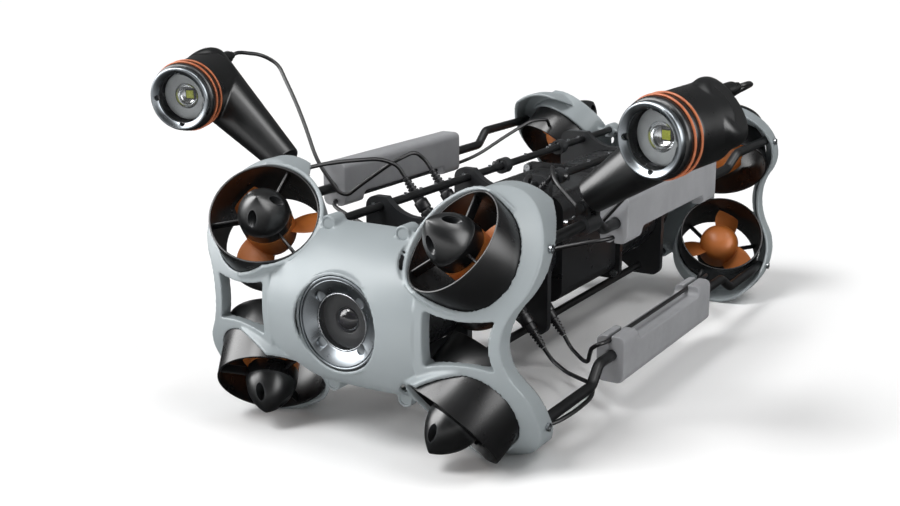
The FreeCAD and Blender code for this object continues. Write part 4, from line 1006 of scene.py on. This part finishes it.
# ---------------- cables
def connector_piece():
    """A cable connector up Z from the hull's axis: foot, hex nut, sleeve and ribbed relief."""
    foot = turned("foot", [(0.5, 38.4), (5.2, 38.4), (5.4, 38.8), (5.4, 43.0), (5.1, 43.3),
                           (4.2, 43.3), (4.2, 47.0), (0.5, 47.0)], 48)
    clear_selection()
    bpy.ops.mesh.primitive_cylinder_add(vertices=6, radius=5.3 * MM, depth=5.0 * MM,
                                        location=(0, 0, 47.5 * MM))
    nut = bpy.context.object
    bpy.ops.object.transform_apply(location=True, rotation=True, scale=True)
    round_edges(nut, 0.4, 2)
    sleeve = turned("sleeve", [(0.5, 49.0), (4.2, 49.0), (4.2, 51.0), (4.9, 51.3), (5.2, 51.8),
                               (5.2, 58.2), (4.9, 58.8), (4.0, 59.2), (4.0, 64.6), (3.4, 65.2),
                               (0.5, 65.2)], 48)
    ribs = [(0.5, 65.0)]
    for count in range(5):
        low, radius = 65.0 + count * 2.7, 3.7 - 0.25 * count
        ribs += [(radius - 0.8, low), (radius - 0.8, low + 0.9), (radius, low + 1.1),
                 (radius, low + 2.5)]
    ribs += [(2.0, 78.6), (2.0, 79.9), (0.5, 79.9)]
    return join([foot, nut, sleeve, turned("ribs", ribs, 32)], "connector")


def light_lead(name, made):
    """A work light's cable as one mesh between the tubes and its light."""
    node = "light_%s_cable" % name
    lead = merged_copy(node, "light_%s_lead" % name, made)
    activate(lead)
    bpy.ops.object.shade_smooth_by_angle(angle=math.radians(35.0))
    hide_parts(node)
    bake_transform(lead)


class VEHICLE_OT_cables(VehicleOperator, bpy.types.Operator):
    """Finishes the cables and models their connectors"""

    bl_idname = "vehicle.cables"
    bl_label = "Cables and connectors"

    def execute(self, context):
        jacket = moulded_rubber("extruded_cable_jacket", "151516", "1A1A1C", 0.34, 0.42)
        coat(["thruster_cables"], jacket)
        light_lead("port", jacket)
        light_lead("stbd", jacket)
        source = connector_piece()
        lean = math.atan2(*CONNECTOR_LEAN)
        copies = []
        for station, level in CONNECTOR_STATIONS:
            for side in (1.0, -1.0):
                place = Matrix.Translation(row_point(-station * MM, 0.0, 0.0))
                mirror = Matrix.Diagonal((side, 1.0, level, 1.0))
                copies.append(copy_of(source, "connector_%d" % len(copies),
                                      place @ mirror @ Matrix.Rotation(lean, 4, "Y")))
        bpy.data.objects.remove(source)
        dress(join(copies, "screwed_connectors"),
              moulded_rubber("moulded_connector_black", "18181A", "1F1F22", 0.32, 0.42),
              ROOT, slot_of("cable_connectors"), "cable_connectors")
        return {"FINISHED"}


# ---------------- panel and run
OPERATORS = (VEHICLE_OT_stage, VEHICLE_OT_end_frames, VEHICLE_OT_thrusters, VEHICLE_OT_bars,
             VEHICLE_OT_floats, VEHICLE_OT_hull, VEHICLE_OT_camera_eye, VEHICLE_OT_work_lights,
             VEHICLE_OT_cables)


class VEHICLE_PT_panel(bpy.types.Panel):
    """Lists the vehicle's pieces in the sidebar"""

    bl_idname = "VEHICLE_PT_panel"
    bl_label = "Inspection vehicle"
    bl_space_type = "VIEW_3D"
    bl_region_type = "UI"
    bl_category = "Vehicle"

    def draw(self, context):
        layout = self.layout
        for settings in (context.scene.vehicle_colours, context.scene.vehicle_sizes):
            for name in settings.__annotations__:
                layout.prop(settings, name)
        for operator in OPERATORS:
            layout.operator(operator.bl_idname)


CLASSES = (ColourSettings, SizeSettings, *OPERATORS, VEHICLE_PT_panel)


def register():
    for cls in CLASSES:
        bpy.utils.register_class(cls)
    bpy.types.Scene.vehicle_colours = PointerProperty(type=ColourSettings)
    bpy.types.Scene.vehicle_sizes = PointerProperty(type=SizeSettings)


def unregister():
    del bpy.types.Scene.vehicle_sizes
    del bpy.types.Scene.vehicle_colours
    for cls in reversed(CLASSES):
        bpy.utils.unregister_class(cls)


def main():
    """Makes every piece in order."""
    register()
    clear_selection()
    for operator in OPERATORS:
        group, name = operator.bl_idname.split(".")
        getattr(getattr(bpy.ops, group), name)()


if __name__ == "__main__":
    main()
